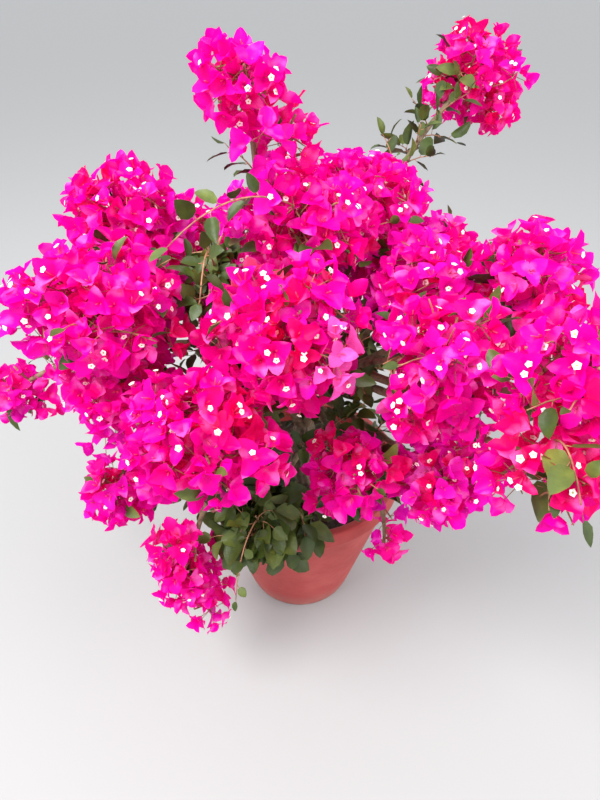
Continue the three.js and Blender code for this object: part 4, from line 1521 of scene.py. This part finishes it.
def plain_material(name, colour, roughness, scale, spread, relief):
    """One colour that a noise lightens and darkens a little, with relief from the same noise."""
    finish = Finish(name, colour, roughness)
    noise = finish.noise(scale, Detail=4.0)
    tone = finish.ramp(noise, (0.3, shade(colour, 1 - spread)), (0.7, shade(colour, 1 + spread)))
    finish.feed("Base Color", tone)
    finish.bump(noise, 0.4, relief)
    return finish.material


def pot_material():
    """Sun-worn terracotta-red plastic: chalky streaks, dust at the foot and fine scratches."""
    colour = (0.385, 0.042, 0.040)
    chalky = (0.47, 0.088, 0.076)
    dust = (0.42, 0.33, 0.27, 1)
    finish = Finish("pot_plastic", colour, 0.5, 0.4)
    cloud = finish.noise(9, Detail=5.0, Roughness=0.6)
    worn = finish.ramp(cloud, (0.30, shade(colour, 0.86)), (0.52, colour), (0.78, chalky))
    split = finish.node("SeparateXYZ")
    finish.link(finish.node("TexCoord").outputs["Object"], split.inputs["Vector"])
    low = finish.mapped(split.outputs["Z"], From_Min=0.0, From_Max=0.055, To_Min=0.55, To_Max=0.0)
    speck = finish.noise(70, Detail=6.0)
    patchy = finish.node("Math")
    patchy.operation = "MULTIPLY"
    finish.link(low, patchy.inputs[0])
    finish.link(speck, patchy.inputs[1])
    dusty = finish.mixed("MIX")
    dusty.inputs["B"].default_value = dust
    finish.link(patchy.outputs["Value"], dusty.inputs["Factor"])
    finish.link(worn, dusty.inputs["A"])
    finish.feed("Base Color", dusty.outputs["Result"])
    finish.feed("Roughness", finish.mapped(speck, To_Min=0.40, To_Max=0.68))
    finish.bump(finish.noise(420, Detail=2.0), 0.15, 0.0006)
    return finish.material


# Build the pieces

for name in names:
    tinted = bract_material(name, TINTS[name])
    for end in ("front", "rear"):
        stands_for = nodes_named("blossom_") if (name, end) == (names[0], "front") else ()
        if bract_heaps[name, end].count:
            bract_heaps[name, end].piece(f"bracts_{name}_{end}", tinted, "blossom", stands_for)
tube_skin = plain_material("flower_tube", (0.72, 0.05, 0.16), 0.5, 300, 0.3, 0.0004)
star_skin = plain_material("flower_star", (0.90, 0.88, 0.78), 0.6, 300, 0.06, 0.0002)
eye_skin = plain_material("flower_eye", (0.42, 0.36, 0.10), 0.7, 300, 0.2, 0.0002)
tubes_heap.piece("flower_tubes", tube_skin, "blossom")
stars_heap.piece("flower_stars", star_skin, "blossom")
eyes_heap.piece("flower_eyes", eye_skin, "blossom")
for tint, name in enumerate(GREENS):
    heap = Heap()
    heap.add(leaf_points[leaf_tint == tint], sheet)
    stands_for = () if tint else nodes_named("leaves_")
    heap.piece(f"leaves_{name}", leaf_material(name, GREENS[name]), "leaves", stands_for)
trunk_piece(bark_material("bark", (0.060, 0.043, 0.029), (0.165, 0.122, 0.086), 55))
cane_piece(bark_material("cane_bark", (0.085, 0.056, 0.032), (0.205, 0.145, 0.088), 80))
twig_bark = bark_material("twig_bark", (0.14, 0.075, 0.04), (0.28, 0.17, 0.09), 140)
shoot_skin = plain_material("shoot_skin", (0.30, 0.13, 0.065), 0.55, 160, 0.35, 0.0004)
woody.piece("twigs", twig_bark, "bark")
shoots_heap.piece("shoots", shoot_skin, "bark")
pot_piece(pot_material())
soil_piece(plain_material("soil", (0.038, 0.024, 0.016), 0.95, 160, 0.5, 0.004))
chips_piece(plain_material("soil_chips", (0.10, 0.060, 0.035), 0.9, 200, 0.5, 0.001))

# Stage: a pale floor, soft lights and the camera at the photo's angle

FLOOR_HALF = 30.0
bpy.ops.mesh.primitive_plane_add(size=2 * FLOOR_HALF, location=(0, 0, 0))
floor = bpy.context.object
floor.name = "floor"
floor.data.materials.append(Finish("floor", (0.335, 0.33, 0.325), 0.9).material)


def area_light(name, place, aim, size, power):
    data = bpy.data.lights.new(name, "AREA")
    data.shape = "DISK"
    data.size = size
    data.energy = power
    light = bpy.data.objects.new(name, data)
    light.location = place
    x, y, z = np.array(place) - np.array(aim)
    light.rotation_euler = (math.atan2(math.hypot(x, y), z), 0, math.atan2(x, -y))
    bpy.context.scene.collection.objects.link(light)


area_light("key", (-1.4, -1.2, 3.0), (0, -0.1, 0.7), 1.6, 150)
area_light("fill", (2.2, -1.0, 2.0), (0, -0.1, 0.6), 2.2, 45)

world = bpy.data.worlds.new("soft_sky")
world.use_nodes = True
background = world.node_tree.nodes["Background"]
background.inputs["Color"].default_value = (0.93, 0.96, 1.0, 1)
background.inputs["Strength"].default_value = 1.5
bpy.context.scene.world = world
bpy.context.scene.view_settings.view_transform = "Standard"

CAMERA_PLACE = (0, -0.842, 1.125)
CAMERA_PITCH_DOWN = 38
CAMERA_LENS = 27.05
camera_data = bpy.data.cameras.new("camera")
camera_data.lens = CAMERA_LENS
camera_data.sensor_width = 36
camera = bpy.data.objects.new("camera", camera_data)
camera.location = CAMERA_PLACE
camera.rotation_euler = (math.radians(90 - CAMERA_PITCH_DOWN), 0, 0)
bpy.context.scene.collection.objects.link(camera)
bpy.context.scene.camera = camera
